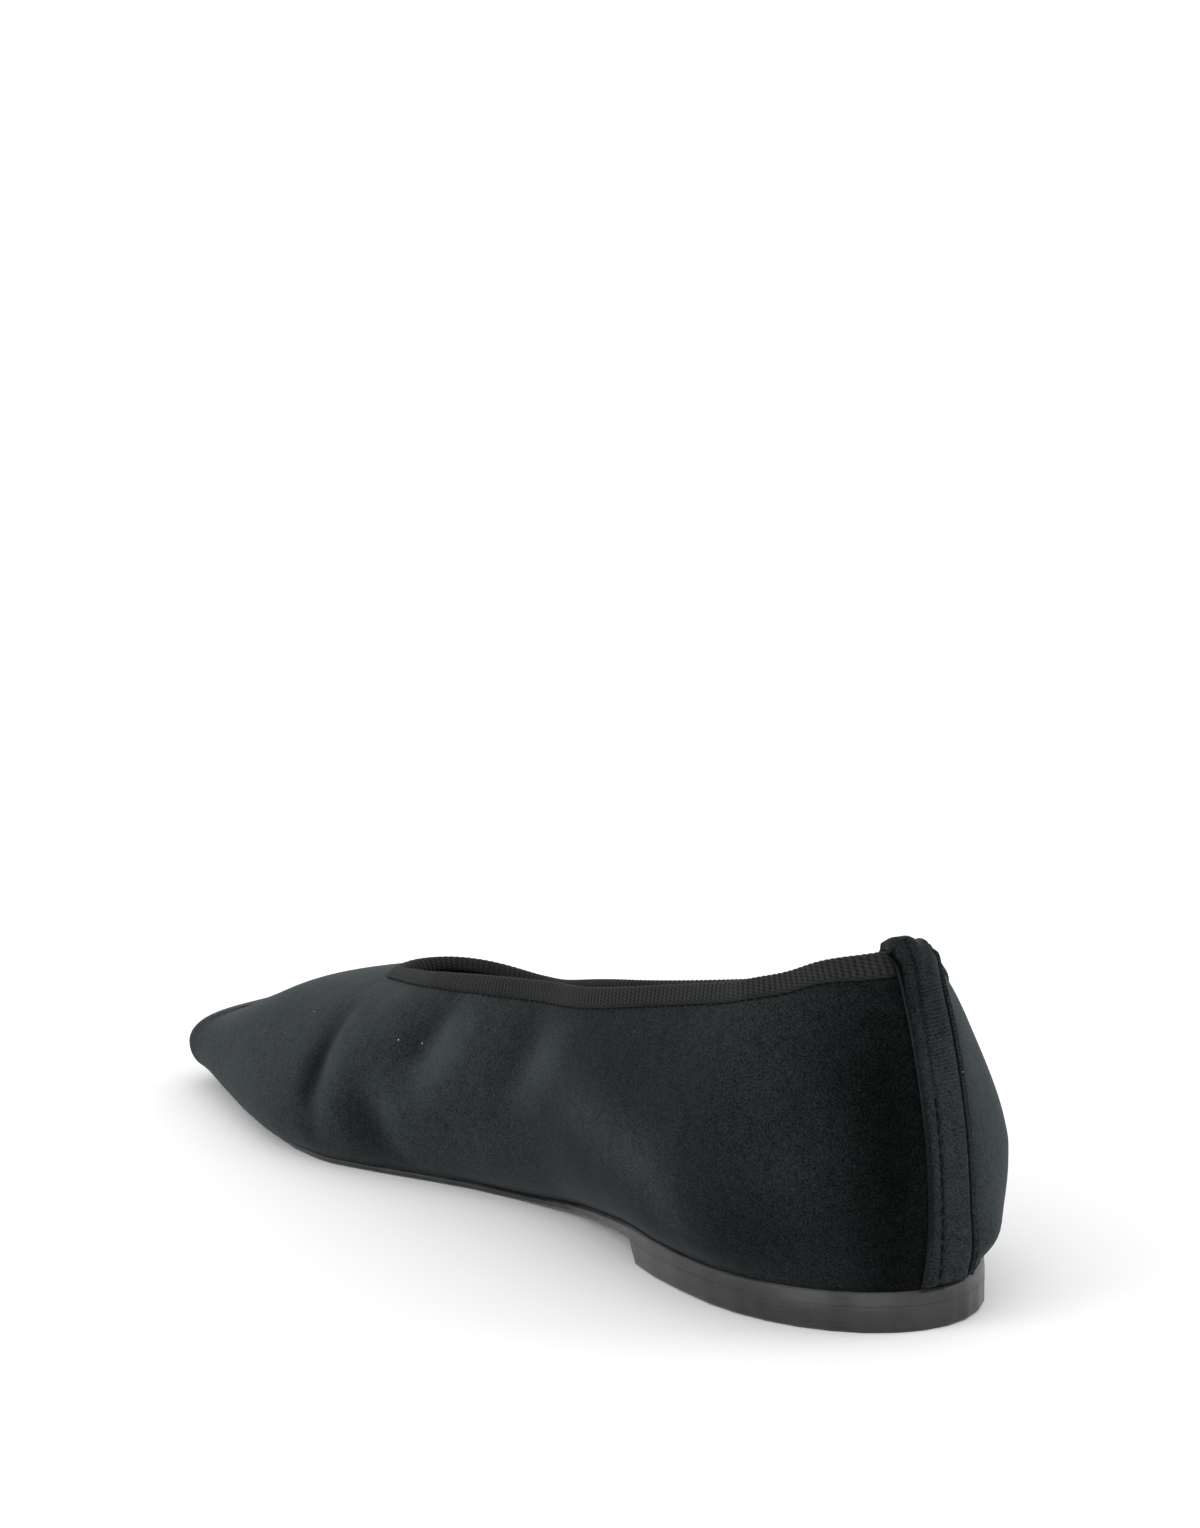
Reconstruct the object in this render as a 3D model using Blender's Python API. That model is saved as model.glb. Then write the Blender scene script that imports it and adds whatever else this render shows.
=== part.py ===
"""A square-toed velvet ballet flat for the right foot, standing empty on its sole.

The shoe lies with its toe towards -Y, the wearer's left towards +X and the floor at Z = 0. Every
section is worked out in shoe coordinates: u runs from the back of the sole to the toe, v towards the
wearer's left (the inner side of this right shoe) and w up. Tables give shares of named sizes.
"""

import math

import bpy
from mathutils import Matrix, Vector
from mathutils.bvhtree import BVHTree

# Driving sizes, in metres
LENGTH = 0.2594
BALL_WIDTH = 0.0711
HEEL_CENTRE = 0.0390
TOE_CAP = 0.0125
TOE_SQUARENESS = 3.0

HEEL_HEIGHT = 0.0050
HEEL_LENGTH = 0.0695
BREAST_SLANT = 0.0020
HEEL_TAPER = 0.0006
SOLE_THICKNESS = 0.0026
FOREPART_THICKNESS = 0.0016
SOLE_EDGE_BEVEL = 0.0005
TOE_SPRING = 0.0025
TOE_SPRING_CURVE = 1.8
WAIST_END = 0.1234
WAIST_CURVE = 1.3
TREAD_END = 0.1662

UPPER_WALL = 0.0018
FEATHER_INSET = 0.0009
INSOLE_THICKNESS = 0.0024
COUNTER_HEIGHT = 0.0280
BACK_HEIGHT = 0.0672
SIDE_BULGE = 0.0060
RIDGE_HEIGHT = 0.0355
THROAT = 0.1840
THROAT_INNER_WIDTH = 0.0135
THROAT_OUTER_WIDTH = 0.0205
OUTER_SIDE_DROP = 0.0075

RIBBON_THICKNESS = 0.0006
RIBBON_GAP = 0.0005
RIBBON_CROWN = 0.0005
RIBBON_OUTSIDE = 0.0028
RIBBON_INSIDE = 0.0034
STRIP_WIDTH = 0.0098
STRIP_THICKNESS = 0.0009
STRIP_INSIDE = 0.0110
STRIP_FOOT_GAP = 0.0006
STRIP_STEP_FOOT = 0.0060
STRIP_STEP_TOP = 0.0008
TAB_RISE = 0.0002
TAB_DEPTH = 0.0035
TAB_SKEW = 0.0016
GAP = 0.0003

# How finely the curved forms are divided
HEEL_STEPS = 8
TOE_STEPS = 6
FEATHER_ROWS = 4
WALL_ROWS = 9
STRIP_COLUMNS = 4
STRIP_ROWS = 15
TAB_ROWS = 6
STRIP_INSIDE_ROWS = 3
RIBBON_LEG_ROWS = 2
RIBBON_FOLD_ROWS = 4
SKIN_FINENESS = 3
CUT_STEPS = 40
SHARP_ANGLE = math.radians(40)

# How the wall swells out from the sole's edge: how far out and up the curve's first handle stands, and
# how far the second one hangs under the widest point
SWELL_OUT = 0.55
SWELL_UP = 0.14
SWELL_HANG = 0.50

INNER_SIDE = 1
OUTER_SIDE = -1

# The sole's edge: share of length, then the inner and outer half widths as shares of the ball width
SOLE_OUTLINE = (
    # share, inner, outer
    (0.150, 0.355, 0.334),
    (0.200, 0.346, 0.352),
    (0.250, 0.325, 0.360),
    (0.320, 0.267, 0.357),
    (0.400, 0.217, 0.360),
    (0.480, 0.242, 0.400),
    (0.550, 0.318, 0.462),
    (0.620, 0.410, 0.512),
    (0.680, 0.464, 0.534),
    (0.720, 0.466, 0.526),
    (0.780, 0.436, 0.483),
    (0.850, 0.384, 0.415),
    (0.920, 0.332, 0.345),
    (1.000, 0.268, 0.274),
)

# The last above the feather line: share of length, how far each side bulges past the sole as a share
# of the side bulge, the height of the widest point over the feather line as a share of the counter
# height, the height of the crown as a share of the ridge at the throat, the two handle shares that
# make the wall upright or leaning and the crown flat or peaked, and how high the outer side's crown
# would be as a share of the inner side's, which leans the outer wall in under the ankle
LAST_SECTIONS = (
    # share, inner, outer, widest, crown, upright, flat, outer crown
    (0.000, 0.20, 0.20, 0.700, 2.760, 0.50, 0.55, 1.00),
    (0.080, 0.70, 1.30, 0.640, 2.260, 0.27, 0.42, 1.00),
    (0.150, 0.90, 1.50, 0.600, 2.140, 0.26, 0.43, 1.00),
    (0.230, 0.95, 1.20, 0.560, 2.040, 0.36, 0.48, 0.97),
    (0.350, 1.30, 0.72, 0.550, 1.860, 0.62, 0.56, 0.86),
    (0.480, 1.25, 0.58, 0.520, 1.560, 0.66, 0.56, 0.76),
    (0.580, 0.86, 0.54, 0.480, 1.330, 0.56, 0.46, 0.79),
    (0.660, 0.64, 0.50, 0.400, 1.130, 0.50, 0.34, 0.92),
    (0.709, 0.56, 0.48, 0.350, 1.024, 0.50, 0.36, 1.00),
    (0.725, 0.54, 0.48, 0.330, 1.000, 0.50, 0.38, 1.00),
    (0.840, 0.52, 0.46, 0.260, 0.800, 0.58, 0.58, 1.00),
    (0.920, 0.56, 0.48, 0.220, 0.580, 0.62, 0.66, 1.00),
    (1.000, 0.52, 0.46, 0.200, 0.420, 0.64, 0.66, 1.00),
)

# The collar seen from the side: share of the way from the back to the throat, height as a share of
# the way from the throat's height up to the back's, and the share of the outer side's drop
COLLAR = (
    # share, height, drop
    (0.00, 1.000, 0.00),
    (0.05, 0.938, 0.34),
    (0.10, 0.842, 0.50),
    (0.16, 0.782, 0.64),
    (0.32, 0.610, 0.89),
    (0.48, 0.443, 0.81),
    (0.62, 0.344, 0.84),
    (0.74, 0.263, 0.88),
    (0.84, 0.171, 0.98),
    (0.92, 0.086, 0.90),
    (1.00, 0.000, 0.00),
)

# Where the sections stand between the heel's and the toe's fans: even steps between the places where
# the sole turns, then shares of the way to the throat and on from it, crowded where the collar turns
EVEN_SPANS = (
    (HEEL_CENTRE, HEEL_LENGTH, 3),
    (HEEL_LENGTH, WAIST_END, 5),
    (WAIST_END, TREAD_END, 4),
)
THROAT_SHARES = (0.0, 0.30, 0.56, 0.76, 0.90, 0.975, 1.0)
VAMP_SHARES = (0.06, 0.16, 0.30, 0.46, 0.62, 0.80, 1.0)


def clear_scene():
    """Removes whatever the open file holds."""
    for existing in list(bpy.data.objects):
        bpy.data.objects.remove(existing)


def smooth_table(table, share, column):
    """Reads a column of a table at a share, along a smooth curve that never overshoots its rows."""
    xs = [row[0] for row in table]
    ys = [row[column] for row in table]
    if share <= xs[0]:
        return ys[0]
    if share >= xs[-1]:
        return ys[-1]
    k = max(i for i in range(len(xs) - 1) if xs[i] <= share)
    slopes = [(ys[i + 1] - ys[i]) / (xs[i + 1] - xs[i]) for i in range(len(xs) - 1)]

    def tangent(i):
        if i == 0 or i == len(xs) - 1:
            return slopes[0] if i == 0 else slopes[-1]
        before, after = slopes[i - 1], slopes[i]
        if before * after <= 0:
            return 0.0
        return 2 * before * after / (before + after)

    width = xs[k + 1] - xs[k]
    t = (share - xs[k]) / width
    near = (1 + 2 * t) * (1 - t) ** 2 * ys[k] + t * (1 - t) ** 2 * width * tangent(k)
    far = t * t * (3 - 2 * t) * ys[k + 1] + t * t * (t - 1) * width * tangent(k + 1)
    return near + far


def bezier(points, t):
    """A point of a cubic curve through its four handles."""
    s = 1 - t
    weights = (s ** 3, 3 * s * s * t, 3 * s * t * t, t ** 3)
    return tuple(sum(w * p[axis] for w, p in zip(weights, points)) for axis in (0, 1))


def half_width(u, side):
    """The sole's half width between the heel's and the toe's rounded ends."""
    return smooth_table(SOLE_OUTLINE, u / LENGTH, 1 if side == INNER_SIDE else 2) * BALL_WIDTH


def sole_height(u):
    """The height of the sole's under face: on the heel, down the waist, flat, and up the toe spring."""
    if u <= HEEL_LENGTH:
        return HEEL_HEIGHT
    if u < WAIST_END:
        return HEEL_HEIGHT * (1 - (u - HEEL_LENGTH) / (WAIST_END - HEEL_LENGTH)) ** WAIST_CURVE
    if u <= TREAD_END:
        return 0.0
    return TOE_SPRING * ((u - TREAD_END) / (LENGTH - TREAD_END)) ** TOE_SPRING_CURVE


def smooth_step(value, low, high):
    """0 below low, 1 above high, and a smooth way between."""
    t = min(1.0, max(0.0, (value - low) / (high - low)))
    return t * t * (3 - 2 * t)


def sole_top(u):
    """The height of the sole's upper face: the sole thins from the heel to its forepart."""
    thinned = (SOLE_THICKNESS - FOREPART_THICKNESS) * smooth_step(u, HEEL_LENGTH, WAIST_END)
    return sole_height(u) + SOLE_THICKNESS - thinned


def feather_height(u):
    """Where the upper starts, just over the sole's upper face."""
    return sole_top(u) + GAP


def collar_height(u, side):
    """The height of the collar over the floor, down to the throat."""
    share = max(0.0, u) / THROAT
    rise = smooth_table(COLLAR, share, 1) * (BACK_HEIGHT - RIDGE_HEIGHT)
    drop = smooth_table(COLLAR, share, 2) * OUTER_SIDE_DROP if side == OUTER_SIDE else 0.0
    return RIDGE_HEIGHT + rise - drop


def throat_limit(u, side):
    """How far from the middle the opening reaches where its front end rounds off."""
    if u <= TREAD_END:
        return BALL_WIDTH
    width = THROAT_INNER_WIDTH if side == INNER_SIDE else THROAT_OUTER_WIDTH
    return width * math.sqrt(max(0.0, 1 - ((u - TREAD_END) / (THROAT - TREAD_END)) ** 2))


class Column:
    """One upright section of the last, from a point of the sole's edge over to the middle line."""

    def __init__(self, centre, foot, side):
        self.centre = centre
        self.u = foot[0]
        reach = math.hypot(foot[0] - centre, foot[1])
        self.direction = ((foot[0] - centre) / reach, foot[1] / reach)
        share = max(0.0, self.u) / LENGTH
        bulge_column = 1 if side == INNER_SIDE else 2
        bulge = smooth_table(LAST_SECTIONS, share, bulge_column) * SIDE_BULGE
        start = reach - FEATHER_INSET
        low = feather_height(self.u)
        widest = low + smooth_table(LAST_SECTIONS, share, 3) * COUNTER_HEIGHT
        crown = smooth_table(LAST_SECTIONS, min(share, 1 - TOE_CAP / LENGTH), 4) * RIDGE_HEIGHT
        if side == OUTER_SIDE:
            crown *= smooth_table(LAST_SECTIONS, share, 7)
        upright = smooth_table(LAST_SECTIONS, share, 5)
        flat = smooth_table(LAST_SECTIONS, share, 6)
        out = start + bulge
        climb = widest - low
        self.lower = ((start, low), (start + SWELL_OUT * bulge, low + SWELL_UP * climb),
                      (out, widest - SWELL_HANG * climb), (out, widest))
        self.upper = ((out, widest), (out, widest + upright * (crown - widest)),
                      (flat * out, crown), (0.0, crown))
        self.open = self.u < THROAT - 1e-6
        self.rim = self.cut_share(collar_height(self.u, side), throat_limit(self.u, side))

    def cut_share(self, height, limit):
        """How far along the upper curve the collar cuts it: up to a height, and within a limit."""
        low, high = 0.0, 1.0
        if not self.open:
            return high
        for _ in range(CUT_STEPS):
            middle = (low + high) / 2
            reach, level = bezier(self.upper, middle)
            if level < height or reach > limit:
                low = middle
            else:
                high = middle
        return high

    def flat_points(self, rows_low, rows_high, end):
        """The section's points (reach, height), from the feather line up to a share of the upper curve."""
        low = [bezier(self.lower, i / rows_low) for i in range(rows_low)]
        high = [bezier(self.upper, end * i / rows_high) for i in range(rows_high + 1)]
        return low + high

    def place(self, point):
        """Puts a point of the section into the shoe's u, v, w."""
        return Vector((self.centre + self.direction[0] * point[0], self.direction[1] * point[0], point[1]))


def inward(points, depth, closed_top):
    """The same section, a wall's thickness further in."""
    result = []
    for i, point in enumerate(points):
        before = points[max(0, i - 1)]
        after = points[min(len(points) - 1, i + 1)]
        along = (after[0] - before[0], after[1] - before[1])
        size = math.hypot(*along)
        normal = (along[1] / size, -along[0] / size)
        result.append((point[0] - normal[0] * depth, point[1] - normal[1] * depth))
    if closed_top:
        result[-1] = (0.0, points[-1][1] - depth)
    return result


def stations():
    """Every section's fan centre and u along the sole, from the back of the heel to the tip of the toe."""
    toe_centre = LENGTH - TOE_CAP
    rows = []
    for i in range(HEEL_STEPS):
        turn = math.pi / 2 * i / HEEL_STEPS
        rows.append((HEEL_CENTRE, HEEL_CENTRE * (1 - math.cos(turn)), math.sin(turn)))
    for start, end, steps in EVEN_SPANS:
        for i in range(steps):
            u = start + (end - start) * i / steps
            rows.append((u, u, 1.0))
    for share in THROAT_SHARES:
        u = TREAD_END + share * (THROAT - TREAD_END)
        rows.append((u, u, 1.0))
    for share in VAMP_SHARES:
        u = THROAT + share * (toe_centre - THROAT)
        rows.append((u, u, 1.0))
    power = 2 / TOE_SQUARENESS
    for i in range(1, TOE_STEPS + 1):
        turn = math.pi / 2 * i / TOE_STEPS
        rows.append((toe_centre, toe_centre + TOE_CAP * math.sin(turn) ** power,
                     max(0.0, math.cos(turn)) ** power if i < TOE_STEPS else 0.0))
    return rows


def edge_point(row, side, inset=0.0):
    """A point of the sole's edge at a station, moved in by an inset."""
    centre, u, spread = row
    v = side * half_width(centre, side) * spread
    if inset:
        reach = math.hypot(u - centre, v)
        u = centre + (u - centre) * (1 - inset / reach)
        v = v * (1 - inset / reach)
    return u, v


def last_columns():
    """The columns all round the last: up the inner side to the toe and back along the outer side."""
    rows = stations()
    inner = [Column(row[0], edge_point(row, INNER_SIDE), INNER_SIDE) for row in rows]
    outer = [Column(row[0], edge_point(row, OUTER_SIDE), OUTER_SIDE) for row in rows[1:-1]]
    return inner + outer[::-1]


def surface_material(name, colour, roughness):
    """A plain surface for one piece."""
    material = bpy.data.materials.new(name)
    material.use_nodes = True
    shader = material.node_tree.nodes["Principled BSDF"]
    shader.inputs["Base Color"].default_value = (*colour, 1.0)
    shader.inputs["Roughness"].default_value = roughness
    shader.inputs["Metallic"].default_value = 0.0
    return material


def add_piece(name, points, faces, material):
    """Makes one named object from points in u, v, w, with the toe towards -Y."""
    mesh = bpy.data.meshes.new(name)
    mesh.from_pydata([(p[1], LENGTH / 2 - p[0], p[2]) for p in points], [], faces)
    mesh.materials.append(material)
    mesh.shade_smooth()
    mesh.set_sharp_from_angle(angle=SHARP_ANGLE)
    mesh.validate()
    piece = bpy.data.objects.new(name, mesh)
    bpy.context.scene.collection.objects.link(piece)
    return piece


class Weld:
    """Collects points and faces, and gives the same number to points that share a key."""

    def __init__(self):
        self.points = []
        self.faces = []
        self.keys = {}

    def point(self, key, position):
        """The number of a point, added when its key is new."""
        if key not in self.keys:
            self.keys[key] = len(self.points)
            self.points.append(position)
        return self.keys[key]

    def face(self, corners):
        """Adds a face, without corners that a weld has joined."""
        kept = [c for i, c in enumerate(corners) if c != corners[i - 1]]
        if len(kept) > 2:
            self.faces.append(kept)


def add_upper(columns):
    """The upper: one hollow wall, open at the collar and under the foot."""
    weld = Weld()
    count = len(columns)
    sheets = {"out": [], "in": []}
    toe_centre = LENGTH - TOE_CAP
    for i, column in enumerate(columns):
        outside = column.flat_points(FEATHER_ROWS, WALL_ROWS, column.rim)
        inside = inward(outside, UPPER_WALL, not column.open)
        for sheet, section in (("out", outside), ("in", inside)):
            line = []
            for j, flat in enumerate(section):
                key = (sheet, i, j)
                if not column.open and j == len(section) - 1:
                    key = (sheet, "crown", round(min(column.centre, toe_centre), 7))
                line.append(weld.point(key, column.place(flat)))
            sheets[sheet].append(line)
    rows = len(sheets["out"][0])
    for i in range(count):
        k = (i + 1) % count
        out_a, out_b = sheets["out"][i], sheets["out"][k]
        in_a, in_b = sheets["in"][i], sheets["in"][k]
        for j in range(rows - 1):
            weld.face([out_a[j], out_a[j + 1], out_b[j + 1], out_b[j]])
            weld.face([in_a[j], in_b[j], in_b[j + 1], in_a[j + 1]])
        weld.face([out_a[0], out_b[0], in_b[0], in_a[0]])
        if columns[i].open or columns[k].open:
            weld.face([out_a[-1], in_a[-1], in_b[-1], out_b[-1]])
    velvet = surface_material("velvet", (0.024, 0.029, 0.031), 0.85)
    return add_piece("upper", weld.points, weld.faces, velvet)


def fine_last(columns):
    """The last's whole skin, collar or not, for the pieces that lie on it."""
    points, faces = [], []
    for column in columns:
        section = column.flat_points(SKIN_FINENESS * FEATHER_ROWS, SKIN_FINENESS * WALL_ROWS, 1.0)
        points.append([column.place(flat) for flat in section])
    rows = len(points[0])
    for i in range(len(columns)):
        k = (i + 1) % len(columns)
        for j in range(rows - 1):
            faces.append([i * rows + j, i * rows + j + 1, k * rows + j + 1, k * rows + j])
    return BVHTree.FromPolygons([point for line in points for point in line], faces)


def rim_points(columns):
    """The collar's edge on the last's skin, from the back along the inner side and round."""
    points = []
    for i, column in enumerate(columns):
        if column.open:
            points.append(column.place(bezier(column.upper, column.rim)))
        elif columns[i - 1].open:
            points.append(column.place(bezier(column.upper, 1.0)))
    return points


def closed_tube(rings):
    """Faces between rings of equal length, the last joined to the first."""
    faces = []
    size = len(rings[0])
    for i in range(len(rings)):
        k = (i + 1) % len(rings)
        for j in range(size):
            n = (j + 1) % size
            faces.append([i * size + j, i * size + n, k * size + n, k * size + j])
    return faces


def add_binding(columns, skin):
    """The ribbon round the collar: folded over the upper's edge, with a leg on each side."""
    rim = rim_points(columns)
    rings = []
    for n, point in enumerate(rim):
        along = (rim[(n + 1) % len(rim)] - rim[n - 1]).normalized()
        _, normal, _, _ = skin.find_nearest(point)
        down = normal.cross(along).normalized()
        outer, inner, fold = [], [], []
        for i in range(RIBBON_LEG_ROWS + 1):
            share = i / RIBBON_LEG_ROWS
            place, out, _, _ = skin.find_nearest(point + down * RIBBON_OUTSIDE * (1 - share))
            outer.append((place + out * (RIBBON_GAP + RIBBON_THICKNESS), place + out * RIBBON_GAP))
            place, out, _, _ = skin.find_nearest(point + down * RIBBON_INSIDE * share)
            depth = UPPER_WALL + RIBBON_GAP
            inner.append((place - out * (depth + RIBBON_THICKNESS), place - out * depth))
        middle = point - normal * UPPER_WALL / 2
        wide = UPPER_WALL / 2 + RIBBON_GAP
        for i in range(1, RIBBON_FOLD_ROWS):
            turn = math.pi * i / RIBBON_FOLD_ROWS
            side, lift = normal * math.cos(turn), -down * math.sin(turn)
            under = middle + side * wide + lift * RIBBON_CROWN
            fold.append((under + (side + lift) * RIBBON_THICKNESS, under))
        pairs = outer + fold + inner
        rings.append([pair[0] for pair in pairs] + [pair[1] for pair in reversed(pairs)])
    points = [point for ring in rings for point in ring]
    ribbon = surface_material("ribbed_ribbon", (0.028, 0.027, 0.026), 0.8)
    return add_piece("topline_binding", points, closed_tube(rings), ribbon)


def add_back_strip(skin):
    """The strip over the back seam: up from the sole, over the collar as a tab and down inside."""
    over_ribbon = RIBBON_GAP + RIBBON_THICKNESS
    behind = Vector((1.0, 0.0, 0.0))
    foot = feather_height(0.0) + STRIP_FOOT_GAP
    rim = BACK_HEIGHT
    step_foot, step_top = rim - RIBBON_OUTSIDE - STRIP_STEP_FOOT, rim - RIBBON_OUTSIDE - STRIP_STEP_TOP
    lines = []
    for j in range(STRIP_COLUMNS + 1):
        v = STRIP_WIDTH * (0.5 - j / STRIP_COLUMNS)

        def on_skin(height, aside=0.0):
            place, normal, _, _ = skin.ray_cast(Vector((-LENGTH / 4, v + aside, height)), behind)
            return place, -normal if normal[0] > 0 else normal

        line = []
        for i in range(STRIP_ROWS + 1):
            height = foot + (rim - foot) * i / STRIP_ROWS
            place, out = on_skin(height)
            lift = GAP + over_ribbon * smooth_step(height, step_foot, step_top)
            line.append((place + out * (lift + STRIP_THICKNESS), place + out * lift))
        place, out = on_skin(rim)
        up = (Vector((0.0, 0.0, 1.0)) - out * out[2]).normalized()
        middle = place - out * UPPER_WALL / 2
        tall = RIBBON_CROWN + RIBBON_THICKNESS + GAP + TAB_RISE
        for i in range(1, TAB_ROWS + 1):
            turn = math.pi * i / TAB_ROWS
            side, lift = out * math.cos(turn), up * math.sin(turn)
            wide = UPPER_WALL / 2 + GAP + over_ribbon + TAB_DEPTH * (turn > math.pi / 2)
            under = middle + side * wide + lift * tall + Vector((0.0, TAB_SKEW * i / TAB_ROWS, 0.0))
            line.append((under + (side + lift) * STRIP_THICKNESS, under))
        for i in range(1, STRIP_INSIDE_ROWS + 1):
            place, out = on_skin(rim - STRIP_INSIDE * i / STRIP_INSIDE_ROWS, TAB_SKEW)
            depth = UPPER_WALL + GAP + over_ribbon
            line.append((place - out * (depth + STRIP_THICKNESS), place - out * depth))
        lines.append(line)
    weld = Weld()
    numbers = [[[weld.point((j, i, k), pair[k]) for k in (0, 1)] for i, pair in enumerate(line)]
               for j, line in enumerate(lines)]
    for j in range(STRIP_COLUMNS):
        a, b = numbers[j], numbers[j + 1]
        for i in range(len(a) - 1):
            weld.face([a[i][0], b[i][0], b[i + 1][0], a[i + 1][0]])
            weld.face([a[i][1], a[i + 1][1], b[i + 1][1], b[i][1]])
        weld.face([a[0][0], a[0][1], b[0][1], b[0][0]])
        weld.face([a[-1][0], b[-1][0], b[-1][1], a[-1][1]])
    for line, turned in ((numbers[0], False), (numbers[-1], True)):
        for i in range(len(line) - 1):
            corners = [line[i][0], line[i + 1][0], line[i + 1][1], line[i][1]]
            weld.face(corners[::-1] if turned else corners)
    velvet = surface_material("strip_velvet", (0.022, 0.027, 0.028), 0.85)
    return add_piece("back_strip", weld.points, weld.faces, velvet)


def slab(rows, inset, low, high, bevel=0.0):
    """A flat-lying layer between two heights that change along the shoe, with the sole's outline."""
    weld = Weld()
    levels = [(inset, low, 0.0), (inset, high, 0.0)]
    if bevel:
        levels = [(inset + bevel, low, 0.0), (inset, low, bevel),
                  (inset, high, -bevel), (inset + bevel, high, 0.0)]
    inner, outer = [], []
    for side, line in ((INNER_SIDE, inner), (OUTER_SIDE, outer)):
        for i, row in enumerate(rows):
            ring = []
            middle = i == 0 or row[2] == 0.0
            for j, (edge, height, lift) in enumerate(levels):
                u, v = edge_point(row, side, edge)
                key = (i, j) if middle else (side, i, j)
                ring.append(weld.point(key, Vector((u, 0.0 if middle else v, height(row[1]) + lift))))
            line.append(ring)
    for i in range(len(rows) - 1):
        for j in range(len(levels) - 1):
            weld.face([inner[i][j], inner[i][j + 1], inner[i + 1][j + 1], inner[i + 1][j]])
            weld.face([outer[i][j], outer[i + 1][j], outer[i + 1][j + 1], outer[i][j + 1]])
        weld.face([inner[i][0], inner[i + 1][0], outer[i + 1][0], outer[i][0]])
        weld.face([inner[i][-1], outer[i][-1], outer[i + 1][-1], inner[i + 1][-1]])
    return weld, inner, outer


def add_insole():
    """The insole: it lies on the sole, inside the upper's wall."""
    inset = FEATHER_INSET + UPPER_WALL + GAP
    weld, _, _ = slab(stations(), inset, feather_height, lambda u: feather_height(u) + INSOLE_THICKNESS)
    lining = surface_material("sock_leather", (0.020, 0.019, 0.018), 0.6)
    return add_piece("insole", weld.points, weld.faces, lining)


def add_outsole():
    """The outsole: one thin layer from the heel to the toe, flat on the floor under the ball."""
    weld, _, _ = slab(stations(), 0.0, sole_height, sole_top, SOLE_EDGE_BEVEL)
    leather = surface_material("sole_leather", (0.030, 0.029, 0.028), 0.5)
    return add_piece("outsole", weld.points, weld.faces, leather)


def add_heel():
    """The low heel: a block under the sole's back, with a flat foot and a breast that slants back."""
    rows = [row for row in stations() if row[0] <= HEEL_LENGTH]
    weld, inner, outer = slab(rows, 0.0, lambda u: 0.0, lambda u: HEEL_HEIGHT - GAP, SOLE_EDGE_BEVEL)
    for ring in inner + outer[1:]:
        for number in ring[:2]:
            place = weld.points[number]
            centre = Vector((max(place[0], HEEL_CENTRE), 0.0, place[2]))
            weld.points[number] = place + (centre - place).normalized() * HEEL_TAPER
    for number in (inner[-1][0], inner[-1][1], outer[-1][0], outer[-1][1]):
        weld.points[number][0] -= BREAST_SLANT
    weld.face(inner[-1] + outer[-1][::-1])
    rubber = surface_material("heel_rubber", (0.032, 0.032, 0.031), 0.4)
    return add_piece("heel", weld.points, weld.faces, rubber)


def centre_on_floor(pieces):
    """Moves every piece together, so that the box round them all stands over the origin."""
    corners = [vertex.co for piece in pieces for vertex in piece.data.vertices]
    middle = [(min(c[axis] for c in corners) + max(c[axis] for c in corners)) / 2 for axis in (0, 1)]
    for piece in pieces:
        piece.data.transform(Matrix.Translation((-middle[0], -middle[1], 0.0)))


def main():
    """Builds every piece."""
    clear_scene()
    columns = last_columns()
    skin = fine_last(columns)
    centre_on_floor([add_upper(columns), add_insole(), add_outsole(), add_heel(),
                     add_binding(columns, skin), add_back_strip(skin)])


main()
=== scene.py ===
"""Looks of a square-toed velvet ballet flat for the right foot.

Sizes are in metres. Places on the shoe are given as u, v, w in millimetres: u runs from the back of the
sole to the toe, v towards the wearer's left (the inner side of this right shoe) and w up from the floor.
"""

import logging
import math
from collections.abc import Callable
from dataclasses import dataclass, field
from enum import Enum

import bmesh
import bpy
import numpy as np
from mathutils import Matrix, Vector
from mathutils.bvhtree import BVHTree


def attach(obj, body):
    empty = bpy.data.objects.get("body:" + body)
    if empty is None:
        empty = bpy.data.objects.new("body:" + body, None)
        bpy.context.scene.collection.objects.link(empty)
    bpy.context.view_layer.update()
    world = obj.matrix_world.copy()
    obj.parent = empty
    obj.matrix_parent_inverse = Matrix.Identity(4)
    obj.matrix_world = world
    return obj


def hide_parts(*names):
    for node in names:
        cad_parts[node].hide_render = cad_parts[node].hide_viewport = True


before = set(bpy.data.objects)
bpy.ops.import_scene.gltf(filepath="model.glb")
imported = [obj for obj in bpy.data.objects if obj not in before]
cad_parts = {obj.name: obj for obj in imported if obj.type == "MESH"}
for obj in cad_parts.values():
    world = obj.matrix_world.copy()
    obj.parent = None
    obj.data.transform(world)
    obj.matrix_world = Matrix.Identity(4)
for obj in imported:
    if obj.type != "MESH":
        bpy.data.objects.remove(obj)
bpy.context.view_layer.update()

log = logging.getLogger("ballet_flat")

# A colour, or a place or reach along u, v and w.
Triple = tuple[float, float, float]
Line = tuple[Triple, ...]
Socket = bpy.types.NodeSocket

MM = 0.001
NAP = 0.44  # how light the pile lies where no spot, stroke or fold shading changes it


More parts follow.
